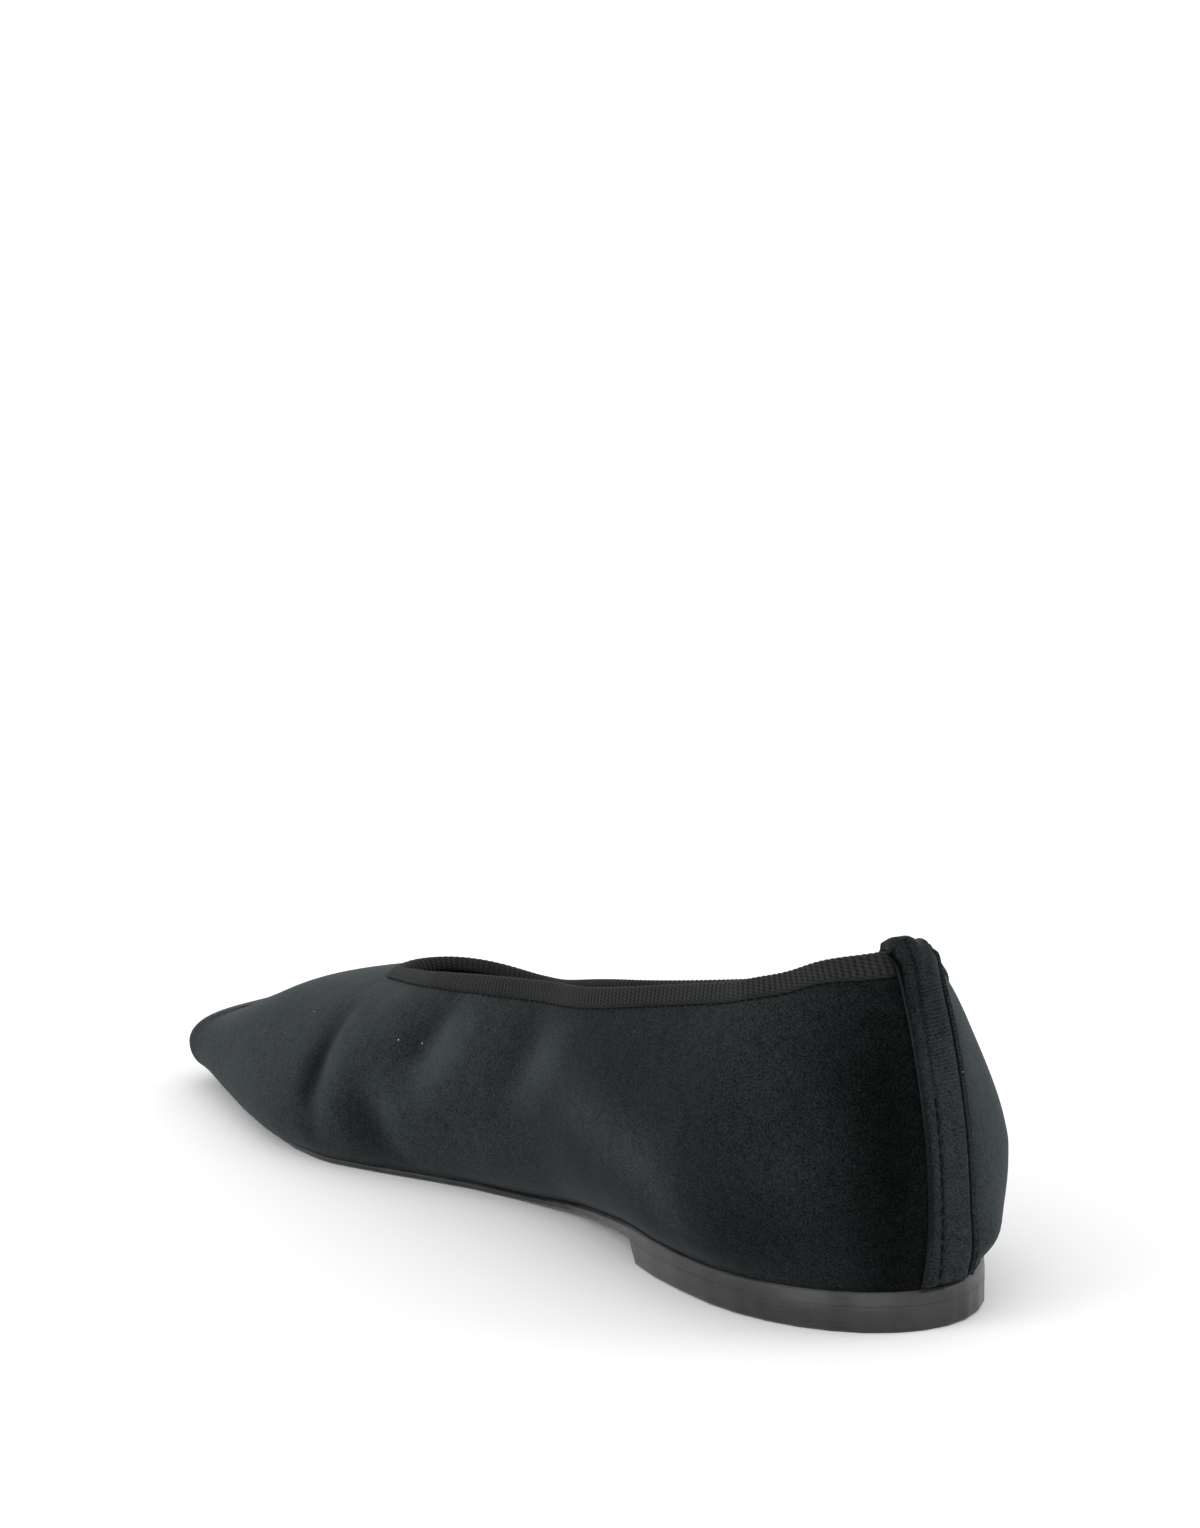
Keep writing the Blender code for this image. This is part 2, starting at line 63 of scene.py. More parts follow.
@dataclass(frozen=True)
class ShoePlace:
    """Where the shoe's own u, v, w lie in the frame."""

    heel_y: float = 0.13007
    middle_x: float = 0.00215
    clear_behind: float = -30.0

    def at(self, u: float, v: float, w: float) -> Vector:
        """A place given in millimetres of u, v, w, in the frame."""
        return Vector((v * MM + self.middle_x, self.heel_y - u * MM, w * MM))

    def shoe(self, points: np.ndarray) -> np.ndarray:
        """Points of the frame as millimetres of u, v, w.

        Args:
            points: one row of x, y, z for each point, in metres.

        Returns:
            One row of u, v, w for each point.
        """
        u = (self.heel_y - points[:, 1]) / MM
        v = (points[:, 0] - self.middle_x) / MM
        return np.stack([u, v, points[:, 2] / MM], axis=1)

    def from_behind(self, skin: BVHTree, v: float, w: float) -> tuple[Vector | None, Vector | None]:
        """The place on a surface, and its normal, that is seen from straight behind the shoe."""
        place, out, _, _ = skin.ray_cast(self.at(self.clear_behind, v, w), Vector((0.0, -1.0, 0.0)))
        return place, out


PLACE = ShoePlace()


def smooth_step(value: np.ndarray, low: float, high: float) -> np.ndarray:
    """0 below low, 1 above high, and a smooth way between."""
    t = np.clip((value - low) / (high - low), 0.0, 1.0)
    return t * t * (3 - 2 * t)


def around(shoe: np.ndarray, middle: Triple, reach: Triple) -> np.ndarray:
    """1 at a place on the shoe, fading to a third at its reach."""
    away = (shoe - np.array(middle)) / np.array(reach)
    return np.exp(-(away ** 2).sum(axis=1))


def beside(line: Line, width: float, shoe: np.ndarray) -> np.ndarray:
    """How close points lie to a given line.

    Args:
        line: the line's points in millimetres of u, v, w.
        width: how far from the line its effect has faded to a third.
        shoe: the points in millimetres of u, v, w.

    Returns:
        1 at the line's middle, less towards its ends, and 0 away from it.
    """
    best = np.full(len(shoe), np.inf)
    along = np.zeros(len(shoe))
    ends = len(line) - 1
    for i in range(ends):
        start, stop = np.array(line[i]), np.array(line[i + 1])
        step = stop - start
        share = np.clip(((shoe - start) @ step) / (step @ step), 0.0, 1.0)
        gap = np.linalg.norm(shoe - (start + share[:, None] * step), axis=1)
        nearer = gap < best
        best = np.where(nearer, gap, best)
        along = np.where(nearer, (i + share) / ends, along)
    taper = 0.35 + 0.65 * np.sin(np.pi * (0.08 + 0.84 * along))
    return taper * np.exp(-((best / width) ** 2))


def resample(points: np.ndarray, count: int) -> np.ndarray:
    """Places spread evenly along a closed line.

    Args:
        points: the line's points, in order.
        count: how many places are wanted.

    Returns:
        The places, one row each, with as many columns as the points have.
    """
    closed = np.vstack([points, points[:1]])
    steps = np.linalg.norm(np.diff(closed[:, :3], axis=0), axis=1)
    length = np.concatenate([[0.0], np.cumsum(steps)])
    wanted = np.linspace(0.0, length[-1], count, endpoint=False)
    return np.stack([np.interp(wanted, length, closed[:, k]) for k in range(closed.shape[1])], axis=1)


def soften(values: np.ndarray, rounds: int) -> np.ndarray:
    """Evens out values along a closed line.

    Args:
        values: one row for each place on the line.
        rounds: how often it is evened out.

    Returns:
        The softer values.
    """
    for _ in range(rounds):
        values = (np.roll(values, 1, axis=0) + 2 * values + np.roll(values, -1, axis=0)) / 4
    return values


class Bench:
    """The few modelling steps that every piece shares."""

    JOIN_GAP = 0.00001
    FLAT_PAIR = math.radians(60)
    SKEWED_PAIR = math.radians(80)

    @staticmethod
    def clear_selection() -> None:
        """Leaves nothing selected and no edit mode open."""
        if bpy.context.object and bpy.context.object.mode != "OBJECT":
            bpy.ops.object.mode_set(mode="OBJECT")
        bpy.ops.object.select_all(action="DESELECT")

    @classmethod
    def take(cls, piece: bpy.types.Object) -> None:
        """Selects one piece alone and makes it the active one.

        Args:
            piece: the piece.
        """
        cls.clear_selection()
        piece.select_set(True)
        bpy.context.view_layer.objects.active = piece

    @classmethod
    def edit_all(cls, piece: bpy.types.Object) -> None:
        """Opens a piece in edit mode with everything selected.

        Args:
            piece: the piece.
        """
        cls.take(piece)
        bpy.ops.object.mode_set(mode="EDIT")
        bpy.ops.mesh.select_all(action="SELECT")

    @classmethod
    def edit_faces(cls, piece: bpy.types.Object, wanted: Callable[[bpy.types.MeshPolygon], bool]) -> None:
        """Opens a piece in edit mode with only the wanted faces selected.

        Args:
            piece: the piece.
            wanted: says of a face whether it is wanted.
        """
        cls.edit_all(piece)
        bpy.ops.mesh.select_all(action="DESELECT")
        bpy.ops.mesh.select_mode(type="FACE")
        bpy.ops.object.mode_set(mode="OBJECT")
        for polygon in piece.data.polygons:
            polygon.select = wanted(polygon)
        bpy.ops.object.mode_set(mode="EDIT")

    @classmethod
    def copy_of_node(cls, node: str, name: str) -> bpy.types.Object:
        """Copies a CAD node, joins its loose triangles and turns them into quads.

        Args:
            node: the CAD node's name.
            name: the new piece's name.

        Returns:
            The new piece, in place.
        """
        piece = bpy.data.objects.new(name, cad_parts[node].data.copy())
        piece.data.name = name
        bpy.context.scene.collection.objects.link(piece)
        cls.edit_all(piece)
        bpy.ops.mesh.remove_doubles(threshold=cls.JOIN_GAP)
        bpy.ops.mesh.customdata_custom_splitnormals_clear()
        bpy.ops.mesh.tris_convert_to_quads(face_threshold=cls.FLAT_PAIR, shape_threshold=cls.SKEWED_PAIR)
        bpy.ops.object.mode_set(mode="OBJECT")
        piece.data.materials.clear()
        return piece

    @classmethod
    def subdivide(cls, piece: bpy.types.Object, levels: int, passes: int = 3) -> None:
        """Rounds a piece with an applied subdivision surface that still passes through its points.

        Args:
            piece: the piece.
            levels: how often each face is halved.
            passes: how often the points are first moved out by what the rounding takes away.
        """
        cls.take(piece)
        modifier = piece.modifiers.new("rounding", "SUBSURF")
        modifier.levels = modifier.render_levels = levels
        wanted = cls.points(piece)
        cage = wanted.copy()
        for _ in range(passes):
            cls.set_points(piece, cage)
            bpy.context.view_layer.update()
            rounded = piece.evaluated_get(bpy.context.evaluated_depsgraph_get())
            cage += wanted - cls.points(rounded)[: len(wanted)]
        cls.set_points(piece, cage)
        bpy.ops.object.modifier_apply(modifier=modifier.name)

    @classmethod
    def apply(cls, piece: bpy.types.Object, kind: str, **settings: object) -> None:
        """Adds a modifier with its settings and applies it.

        Args:
            piece: the piece.
            kind: Blender's name for the kind of modifier.
            settings: the modifier's own settings.
        """
        cls.take(piece)
        modifier = piece.modifiers.new(kind.lower(), kind)
        for key, value in settings.items():
            setattr(modifier, key, value)
        bpy.ops.object.modifier_apply(modifier=modifier.name)

    @classmethod
    def bevel(cls, piece: bpy.types.Object, width: float, angle: float) -> None:
        """Breaks a piece's sharp edges with an applied bevel."""
        cls.apply(piece, "BEVEL", width=width, segments=2, limit_method="ANGLE", angle_limit=angle)

    @classmethod
    def thicken(cls, piece: bpy.types.Object, depth: float) -> None:
        """Gives an open sheet a wall on its inner side."""
        cls.apply(piece, "SOLIDIFY", thickness=depth, offset=-1.0, use_even_offset=False)

    @classmethod
    def smooth(cls, piece: bpy.types.Object, angle: float = math.radians(50)) -> None:
        """Shades a piece smooth, with its sharp edges kept."""
        cls.take(piece)
        bpy.ops.object.shade_smooth_by_angle(angle=angle)

    @staticmethod
    def read(values: bpy.types.bpy_prop_collection, key: str) -> np.ndarray:
        """Reads one vector for each point, one row each.

        Args:
            values: the mesh's points or point normals.
            key: the name of the vector to read.

        Returns:
            The vectors.
        """
        flat = np.empty(len(values) * 3)
        values.foreach_get(key, flat)
        return flat.reshape(-1, 3)

    @classmethod
    def points(cls, piece: bpy.types.Object) -> np.ndarray:
        """A piece's points in the frame, one row each."""
        return cls.read(piece.data.vertices, "co")

    @classmethod
    def normals(cls, piece: bpy.types.Object) -> np.ndarray:
        """A piece's point normals, one row each."""
        return cls.read(piece.data.vertex_normals, "vector")

    @staticmethod
    def set_points(piece: bpy.types.Object, points: np.ndarray) -> None:
        """Writes a piece's points back."""
        piece.data.vertices.foreach_set("co", points.ravel())
        piece.data.update()

    @staticmethod
    def mark(piece: bpy.types.Object, name: str, values: np.ndarray) -> None:
        """Stores one value per point under a name that a finish can read."""
        attribute = piece.data.attributes.new(name, "FLOAT", "POINT")
        attribute.data.foreach_set("value", values.astype(np.float32))

    @staticmethod
    def tree(piece: bpy.types.Object) -> BVHTree:
        """A search tree over a piece's faces."""
        mesh = piece.data
        return BVHTree.FromPolygons([v.co for v in mesh.vertices], [p.vertices[:] for p in mesh.polygons])

    @staticmethod
    def from_grid(name: str, grid: np.ndarray) -> bpy.types.Object:
        """A closed tube from rings of points: both ways round it meets itself.

        Args:
            name: the new piece's name.
            grid: points as rings x places x 3.

        Returns:
            The new piece.
        """
        rings, places, _ = grid.shape
        ring, place = np.meshgrid(np.arange(rings), np.arange(places), indexing="ij")
        next_ring, next_place = (ring + 1) % rings, (place + 1) % places
        corners = ((ring, place), (ring, next_place), (next_ring, next_place), (next_ring, place))
        faces = np.stack([row * places + column for row, column in corners], axis=-1).reshape(-1, 4)
        mesh = bpy.data.meshes.new(name)
        mesh.from_pydata(grid.reshape(-1, 3).tolist(), [], faces.tolist())
        piece = bpy.data.objects.new(name, mesh)
        bpy.context.scene.collection.objects.link(piece)
        return piece

    @classmethod
    def copies(cls, name: str, model: bpy.types.Object, places: list[Matrix]) -> bpy.types.Object:
        """Lays copies of a small model at many places and joins them into one piece.

        Args:
            name: the joined piece's name.
            model: the small piece, which is used up.
            places: one matrix for each copy.

        Returns:
            The joined piece.
        """
        cls.clear_selection()
        made = []
        for place in places:
            mesh = model.data.copy()
            mesh.transform(place)
            made.append(bpy.data.objects.new(name, mesh))
            bpy.context.scene.collection.objects.link(made[-1])
            made[-1].select_set(True)
        bpy.context.view_layer.objects.active = made[0]
        bpy.ops.object.join()
        bpy.data.objects.remove(model)
        made[0].name = name
        return made[0]


@dataclass(frozen=True)
class Mottle:
    """One layer of uneven tone, made from a noise.

    The scale is per metre, swing says how far it moves the tone, and edge how much of the noise's range is cut
    off at each end.
    """

    scale: float
    detail: float
    rough: float
    swing: float
    edge: float = 0.3


class NodeBoard:
    """Lays out one material's nodes."""

    def __init__(self, name: str) -> None:
        """Starts a material with its shader.

        Args:
            name: the material's name.
        """
        self.material = bpy.data.materials.new(name)
        self.material.use_nodes = True
        self.tree = self.material.node_tree
        self.shader = self.tree.nodes["Principled BSDF"]
        self.place = self.add("ShaderNodeTexCoord").outputs["Object"]

    def add(self, kind: str, **settings: object) -> bpy.types.Node:
        """Adds a node and sets its own settings.

        Args:
            kind: Blender's name for the kind of node.
            settings: the node's own settings.

        Returns:
            The node.
        """
        node = self.tree.nodes.new(kind)
        for key, value in settings.items():
            setattr(node, key, value)
        return node

    def join(self, source: Socket, target: Socket) -> None:
        """Links two sockets."""
        self.tree.links.new(source, target)

    def pattern(
        self, kind: str, inputs: dict[str, float | Triple], place: Socket | None = None, **settings: str
    ) -> bpy.types.Node:
        """Adds a texture node with its inputs, read at the object's place unless another is given.

        Args:
            kind: Blender's name for the kind of node.
            inputs: the values of its inputs.
            place: the place it reads, if it isn't the object's.
            settings: the node's own settings.

        Returns:
            The node.
        """
        node = self.add(kind, **settings)
        for key, value in inputs.items():
            node.inputs[key].default_value = value
        self.join(place or self.place, node.inputs["Vector"])
        return node

    def stretched(self, scale: Triple) -> Socket:
        """The object's place, stretched along its axes."""
        return self.pattern("ShaderNodeMapping", {"Scale": scale}).outputs["Vector"]

    def noise(
        self, scale: float, detail: float = 3.0, rough: float = 0.55, place: Socket | None = None
    ) -> Socket:
        """A noise of that scale per metre."""
        inputs = {"Scale": scale, "Detail": detail, "Roughness": rough}
        return self.pattern("ShaderNodeTexNoise", inputs, place).outputs["Fac"]

    def span(
        self, source: Socket, low: float, high: float, to_low: float = 0.0, to_high: float = 1.0
    ) -> Socket:
        """Maps a range of values onto another and holds it there.

        Args:
            source: the values.
            low: the least value of their range.
            high: the greatest value of it.
            to_low: what the least value becomes.
            to_high: what the greatest value becomes.

        Returns:
            The mapped values.
        """
        node = self.add("ShaderNodeMapRange")
        self.join(source, node.inputs["Value"])
        for key, value in (("From Min", low), ("From Max", high), ("To Min", to_low), ("To Max", to_high)):
            node.inputs[key].default_value = value
        return node.outputs["Result"]

    def mottle(self, layer: Mottle) -> Socket:
        """An uneven tone that swings evenly about 0."""
        source = self.noise(layer.scale, layer.detail, layer.rough)
        return self.span(source, layer.edge, 1 - layer.edge, -layer.swing, layer.swing)

    def total(self, first: Socket, *others: Socket) -> Socket:
        """Adds values up.

        Args:
            first: a value.
            others: what is added to it.

        Returns:
            The sum.
        """
        for other in others:
            node = self.add("ShaderNodeMath", operation="ADD")
            self.join(first, node.inputs[0])
            self.join(other, node.inputs[1])
            first = node.outputs[0]
        return first

    def product(self, first: Socket, second: Socket | float) -> Socket:
        """Multiplies a value by another one or by a number.

        Args:
            first: a value.
            second: what it is multiplied by.

        Returns:
            The product.
        """
        node = self.add("ShaderNodeMath", operation="MULTIPLY")
        self.join(first, node.inputs[0])
        if isinstance(second, float):
            node.inputs[1].default_value = second
        else:
            self.join(second, node.inputs[1])
        return node.outputs[0]

    def marked(self, name: str) -> Socket:
        """The value stored on the piece's points under a name."""
        return self.add("ShaderNodeAttribute", attribute_name=name).outputs["Fac"]

    def blend(self, factor: Socket, low: Triple | Socket, high: Triple | Socket) -> Socket:
        """Mixes two colours by a factor.

        Args:
            factor: 0 for the first colour and 1 for the second.
            low: the first colour.
            high: the second colour.

        Returns:
            The mixed colour.
        """
        node = self.add("ShaderNodeMix", data_type="RGBA")
        self.join(factor, node.inputs[0])
        for socket, colour in ((node.inputs[6], low), (node.inputs[7], high)):
            if isinstance(colour, tuple):
                socket.default_value = (*colour, 1.0)
            else:
                self.join(colour, socket)
        return node.outputs[2]

    def bump(self, height: Socket, strength: float, distance: float, under: Socket | None = None) -> Socket:
        """A bump of that depth in metres, over another one if given.

        Args:
            height: the height, from 0 to 1.
            strength: how much of the bump shows.
            distance: its depth in metres.
            under: the bump that it lies over.

        Returns:
            The bumped normal.
        """
        node = self.add("ShaderNodeBump")
        node.inputs["Strength"].default_value = strength
        node.inputs["Distance"].default_value = distance
        self.join(height, node.inputs["Height"])
        if under:
            self.join(under, node.inputs["Normal"])
        return node.outputs["Normal"]

    def finish(
        self, colour: Socket, roughness: Socket | float, normal: Socket | None = None,
        **sockets: float | tuple[float, float, float, float],
    ) -> bpy.types.Material:
        """Joins the shader's inputs and returns the material.

        Args:
            colour: the base colour.
            roughness: the roughness.
            normal: the bumped normal.
            sockets: the shader's other inputs, with _ for each blank.

        Returns:
            The material.
        """
        self.join(colour, self.shader.inputs["Base Color"])
        if isinstance(roughness, float):
            self.shader.inputs["Roughness"].default_value = roughness
        else:
            self.join(roughness, self.shader.inputs["Roughness"])
        if normal:
            self.join(normal, self.shader.inputs["Normal"])
        for key, value in sockets.items():
            self.shader.inputs[key.replace("_", " ")].default_value = value
        return self.material


@dataclass(frozen=True)
class VelvetFinish:
    """Blue-black velvet: a dark pile that lights up where it is seen or lit from the side."""

    name: str = "velvet_pile"
    deep: Triple = (0.0010, 0.0013, 0.0013)
    lightest: Triple = (0.040, 0.048, 0.0505)
    roughness: float = 0.92
    sheen: float = 0.085
    sheen_roughness: float = 0.42
    tint: tuple[float, float, float, float] = (0.86, 0.94, 1.0, 1.0)
    specular: float = 0.02
    clouds: Mottle = Mottle(85.0, 4.0, 0.6, 0.05)
    streaks: Mottle = Mottle(420.0, 3.0, 0.65, 0.07)
    pile: Mottle = Mottle(2900.0, 3.0, 0.8, 0.42, 0.32)
    pile_depth: float = 0.00010
    lint: Triple = (0.42, 0.42, 0.43)
    lint_scale: float = 150.0
    lint_size: tuple[float, float] = (0.018, 0.030)
    lint_share: tuple[float, float] = (0.53, 0.57)
    crease_pitch: float = 0.0
    crease_painted_shading: float = 0.22
    crease_depth: float = 0.00022

    def specks(self, board: NodeBoard) -> Socket:
        """Where a speck of lint lies: small dots, and few of them.

        Args:
            board: the material's board.

        Returns:
            1 in a speck and 0 beside it.
        """
        inputs = {"Scale": self.lint_scale, "Randomness": 1.0}
        cells = board.pattern("ShaderNodeTexVoronoi", inputs, feature="F1")
        dots = board.span(cells.outputs["Distance"], *self.lint_size, 1.0, 0.0)
        return board.product(dots, board.span(board.noise(60.0, 2.0, 0.6), *self.lint_share))

    def creases(self, board: NodeBoard) -> Socket:
        """Fine level ridges, on the stretch of the piece that is marked as creased.

        Args:
            board: the material's board.

        Returns:
            Their height, from -0.5 to 0.5, and 0 elsewhere.
        """
        scale = math.tau / (20 * self.crease_pitch)
        inputs = {"Scale": scale, "Distortion": 2.6, "Detail": 1.0, "Detail Scale": 0.35}
        wave = board.pattern("ShaderNodeTexWave", inputs, bands_direction="Z")
        return board.product(board.span(wave.outputs["Fac"], 0.0, 1.0, -0.5, 0.5), board.marked("creased"))

    def build(self) -> bpy.types.Material:
        """Builds the material.

        Returns:
            The material.
        """
        board = NodeBoard(self.name)
        # The pile's tone stored on the points: its own uneven tone plus painted shade and painted highlights
        # from the folds, spots and strokes.
        pile_tone_and_painted_light = board.marked("pile_tone_and_painted_light")
        grain = board.total(board.mottle(self.clouds), board.mottle(self.streaks), board.mottle(self.pile))
        tone = board.total(pile_tone_and_painted_light, board.product(grain, board.span(pile_tone_and_painted_light, -0.05, 0.4, 0.12, 1.0)))
        height = board.total(board.noise(3200.0, 2.0, 0.7), board.noise(900.0, 2.0, 0.6))
        normal = board.bump(height, strength=0.2, distance=self.pile_depth)
        if self.crease_pitch:
            ridges = self.creases(board)
            # painted shade in the fine creases' troughs and painted light on their crests
            tone = board.total(tone, board.product(ridges, self.crease_painted_shading))
            normal = board.bump(ridges, strength=0.6, distance=self.crease_depth, under=normal)
        colour = board.blend(board.span(tone, 0.0, 1.0), self.deep, self.lightest)
        colour = board.blend(self.specks(board), colour, self.lint)
        return board.finish(
            colour, self.roughness, normal, Sheen_Weight=self.sheen, Sheen_Roughness=self.sheen_roughness,
            Sheen_Tint=self.tint, Specular_IOR_Level=self.specular,
        )


@dataclass(frozen=True)
class RibbonFinish:
    """Black grosgrain: round ribs of a matte yarn, a little brown."""

    name: str = "grosgrain"
    valley: Triple = (0.0016, 0.0017, 0.0015)
    crest: Triple = (0.0262, 0.0278, 0.0272)
    roughness: float = 0.7
    sheen: float = 0.03
    sheen_roughness: float = 0.5
    specular: float = 0.05
    yarns_per_mm: float = 1.5
    yarn_tone: float = 0.22
    yarn_depth: float = 0.00010
    fibre: Mottle = Mottle(2600.0, 2.0, 0.6, 0.16)
    fibre_depth: float = 0.00008
    worn: Mottle = Mottle(110.0, 3.0, 0.6, 0.12)

    def yarns(self, board: NodeBoard) -> Socket:
        """The yarns that cross each rib, set off by half from one rib to the next.

        Args:
            board: the material's board.

        Returns:
            Their height, from -1 to 1.
        """
        turned = board.product(board.marked("across"), self.yarns_per_mm * math.tau)
        yarn = board.add("ShaderNodeMath", operation="SINE")
        board.join(board.total(turned, board.product(board.marked("along"), math.pi)), yarn.inputs[0])
        return yarn.outputs[0]

    def build(self) -> bpy.types.Material:
        """Builds the material.

        Returns:
            The material.
        """
        board = NodeBoard(self.name)
        yarns = self.yarns(board)
        # the rib's height paints shade into the valleys between ribs and light onto their crests
        tone = board.total(
            board.marked("rib"), board.product(yarns, self.yarn_tone), board.mottle(self.fibre),
            board.mottle(self.worn), board.marked("pale"),
        )
        colour = board.blend(board.span(tone, 0.0, 1.2), self.valley, self.crest)
        fibre = board.noise(self.fibre.scale, self.fibre.detail, self.fibre.rough)
        under = board.bump(yarns, strength=0.35, distance=self.yarn_depth)
        normal = board.bump(fibre, strength=0.3, distance=self.fibre_depth, under=under)
        return board.finish(
            colour, self.roughness, normal, Sheen_Weight=self.sheen, Sheen_Roughness=self.sheen_roughness,
            Specular_IOR_Level=self.specular,
        )


@dataclass(frozen=True)
class LeatherFinish:
    """Thin matte leather, for the lining and the sock."""

    name: str
    dark: Triple
    light: Triple
    roughness: float = 0.62
    roughness_swing: float = 0.08
    cell_scale: float = 1100.0
    cell_depth: float = 0.00015

    def build(self) -> bpy.types.Material:
        """Builds the material.

        Returns:
            The material.
        """
        board = NodeBoard(self.name)
        voronoi = board.pattern("ShaderNodeTexVoronoi", {"Scale": self.cell_scale}, feature="SMOOTH_F1")
        cells = voronoi.outputs["Distance"]
        tone = board.total(board.noise(70.0, 4.0, 0.6), board.span(cells, 0.0, 0.7, -0.15, 0.15))
        colour = board.blend(board.span(tone, 0.3, 0.75), self.dark, self.light)
        low, high = self.roughness - self.roughness_swing, self.roughness + self.roughness_swing
        roughness = board.span(board.noise(160.0), 0.3, 0.7, low, high)
        return board.finish(colour, roughness, board.bump(cells, strength=0.35, distance=self.cell_depth))


@dataclass(frozen=True)
class SoleEdgeFinish:
    """Black sole edge and heel, rubbed to a half gloss along its length."""

    name: str
    dark: Triple = (0.009, 0.009, 0.0088)
    light: Triple = (0.046, 0.046, 0.0455)
    roughness: float = 0.36
    specular: float = 0.35
    coat: float = 0.12
    coat_roughness: float = 0.35
    rub_scale: Triple = (90.0, 90.0, 2600.0)
    rub_tone: float = 0.09
    rub_depth: float = 0.00012
    cloud_scale: float = 140.0
    grain_scale: float = 1800.0
    grain_depth: float = 0.00008

    def build(self) -> bpy.types.Material:
        """Builds the material.

        Returns:
            The material.
        """
        board = NodeBoard(self.name)
        rubbed = board.noise(1.0, 3.0, 0.6, board.stretched(self.rub_scale))
        streaks = board.span(rubbed, 0.3, 0.7, -self.rub_tone, self.rub_tone)
        clouds = board.span(board.noise(self.cloud_scale, 4.0, 0.6), 0.3, 0.7, 0.3, 0.7)
        # the stored tone adds painted highlights of the lamps and darker places
        tone = board.total(streaks, clouds, board.marked("edge_light_and_tone"))
        colour = board.blend(board.span(tone, 0.0, 1.0), self.dark, self.light)
        roughness = board.span(tone, 0.0, 1.0, self.roughness - 0.1, self.roughness + 0.14)
        grain = board.noise(self.grain_scale, 2.0, 0.6)
        under = board.bump(rubbed, strength=0.25, distance=self.rub_depth)
        normal = board.bump(grain, strength=0.15, distance=self.grain_depth, under=under)
        return board.finish(
            colour, roughness, normal, Coat_Weight=self.coat, Coat_Roughness=self.coat_roughness,
            Specular_IOR_Level=self.specular,
        )


@dataclass(frozen=True)
class ThreadFinish:
    """Black sewing thread."""

    name: str = "thread"
    shade: Triple = (0.0014, 0.0016, 0.0018)
    lit: float = 2.2
    roughness: float = 0.7
    sheen: float = 0.02
    specular: float = 0.06
    twist_scale: float = 4200.0
    twist_depth: float = 0.00006

    def build(self) -> bpy.types.Material:
        """Builds the material.

        Returns:
            The material.
        """
        board = NodeBoard(self.name)
        twist = board.noise(self.twist_scale, 1.0, 0.5)
        lit = tuple(self.lit * part for part in self.shade)
        colour = board.blend(board.span(twist, 0.3, 0.7), self.shade, lit)
        normal = board.bump(twist, strength=0.3, distance=self.twist_depth)
        return board.finish(
            colour, self.roughness, normal, Sheen_Weight=self.sheen, Specular_IOR_Level=self.specular,
        )


@dataclass(frozen=True)
class Fold:
    """One soft trough or ridge of the velvet. A trough has a positive depth in millimetres."""

    line: Line
    depth: float
    width: float

    def press(self, shoe: np.ndarray) -> np.ndarray:
        """How far each point is pressed in, in millimetres."""
        return self.depth * beside(self.line, self.width, shoe)


@dataclass(frozen=True)
class HighlightStroke:
    """A line along which the pile is painted lighter or darker: a painted highlight, mostly along a fold's
    ridge.
    """

    line: Line
    width: float
    tone: float

    def shade(self, shoe: np.ndarray) -> np.ndarray:
        """What it adds to the tone of each point."""
        return self.tone * beside(self.line, self.width, shoe)


@dataclass(frozen=True)
class ToneSpot:
    """A stretch of pile or of an edge painted darker or lighter, in millimetres of u, v, w; some are painted
    shade or painted highlights.
    """

    middle: Triple
    reach: Triple
    tone: float

    def shade(self, shoe: np.ndarray) -> np.ndarray:
        """What it adds to the tone of each point."""
        return self.tone * around(shoe, self.middle, self.reach)


@dataclass(frozen=True)
class Nudge:
    """A stretch of the shoe that is drawn a little to one side, in millimetres of u, v, w."""

    middle: Triple
    reach: Triple
    move: Triple

    def shift(self, shoe: np.ndarray) -> np.ndarray:
        """How each point moves, in millimetres of u, v, w."""
        return around(shoe, self.middle, self.reach)[:, None] * np.array(self.move)


INNER_FOLDS = (
    Fold(((179, 24, 31), (175, 30, 25), (172, 34, 19), (173, 35, 9)), 1.25, 5.0),
    Fold(((171, 26, 28), (168, 32, 21), (169, 35, 13)), -0.85, 3.6),
    Fold(((137, 20, 38), (142, 24, 32), (147, 28, 24)), 1.05, 5.0),
    Fold(((127, 20, 38), (133, 24, 30), (138, 26, 23)), -0.90, 4.8),
    Fold(((161, 32, 18), (157, 31, 12), (152, 29, 6)), 0.80, 5.6),
    Fold(((153, 30, 21), (149, 29, 15), (146, 27, 8)), -0.80, 2.9),
    Fold(((105, 19, 39), (111, 22, 32), (117, 23, 25)), 0.62, 5.2),
    Fold(((93, 21, 39), (100, 22, 33), (107, 22, 27)), -0.60, 5.0),
)
OUTER_FOLDS = (
    Fold(((176, -26, 29), (171, -34, 23), (167, -39, 14)), 0.80, 5.0),
    Fold(((167, -28, 28), (163, -35, 21), (160, -38, 12)), -0.55, 4.2),
    Fold(((139, -27, 30), (145, -33, 24), (149, -35, 15)), 0.60, 5.2),
    Fold(((126, -26, 31), (131, -30, 24), (136, -33, 16)), -0.45, 5.0),
)
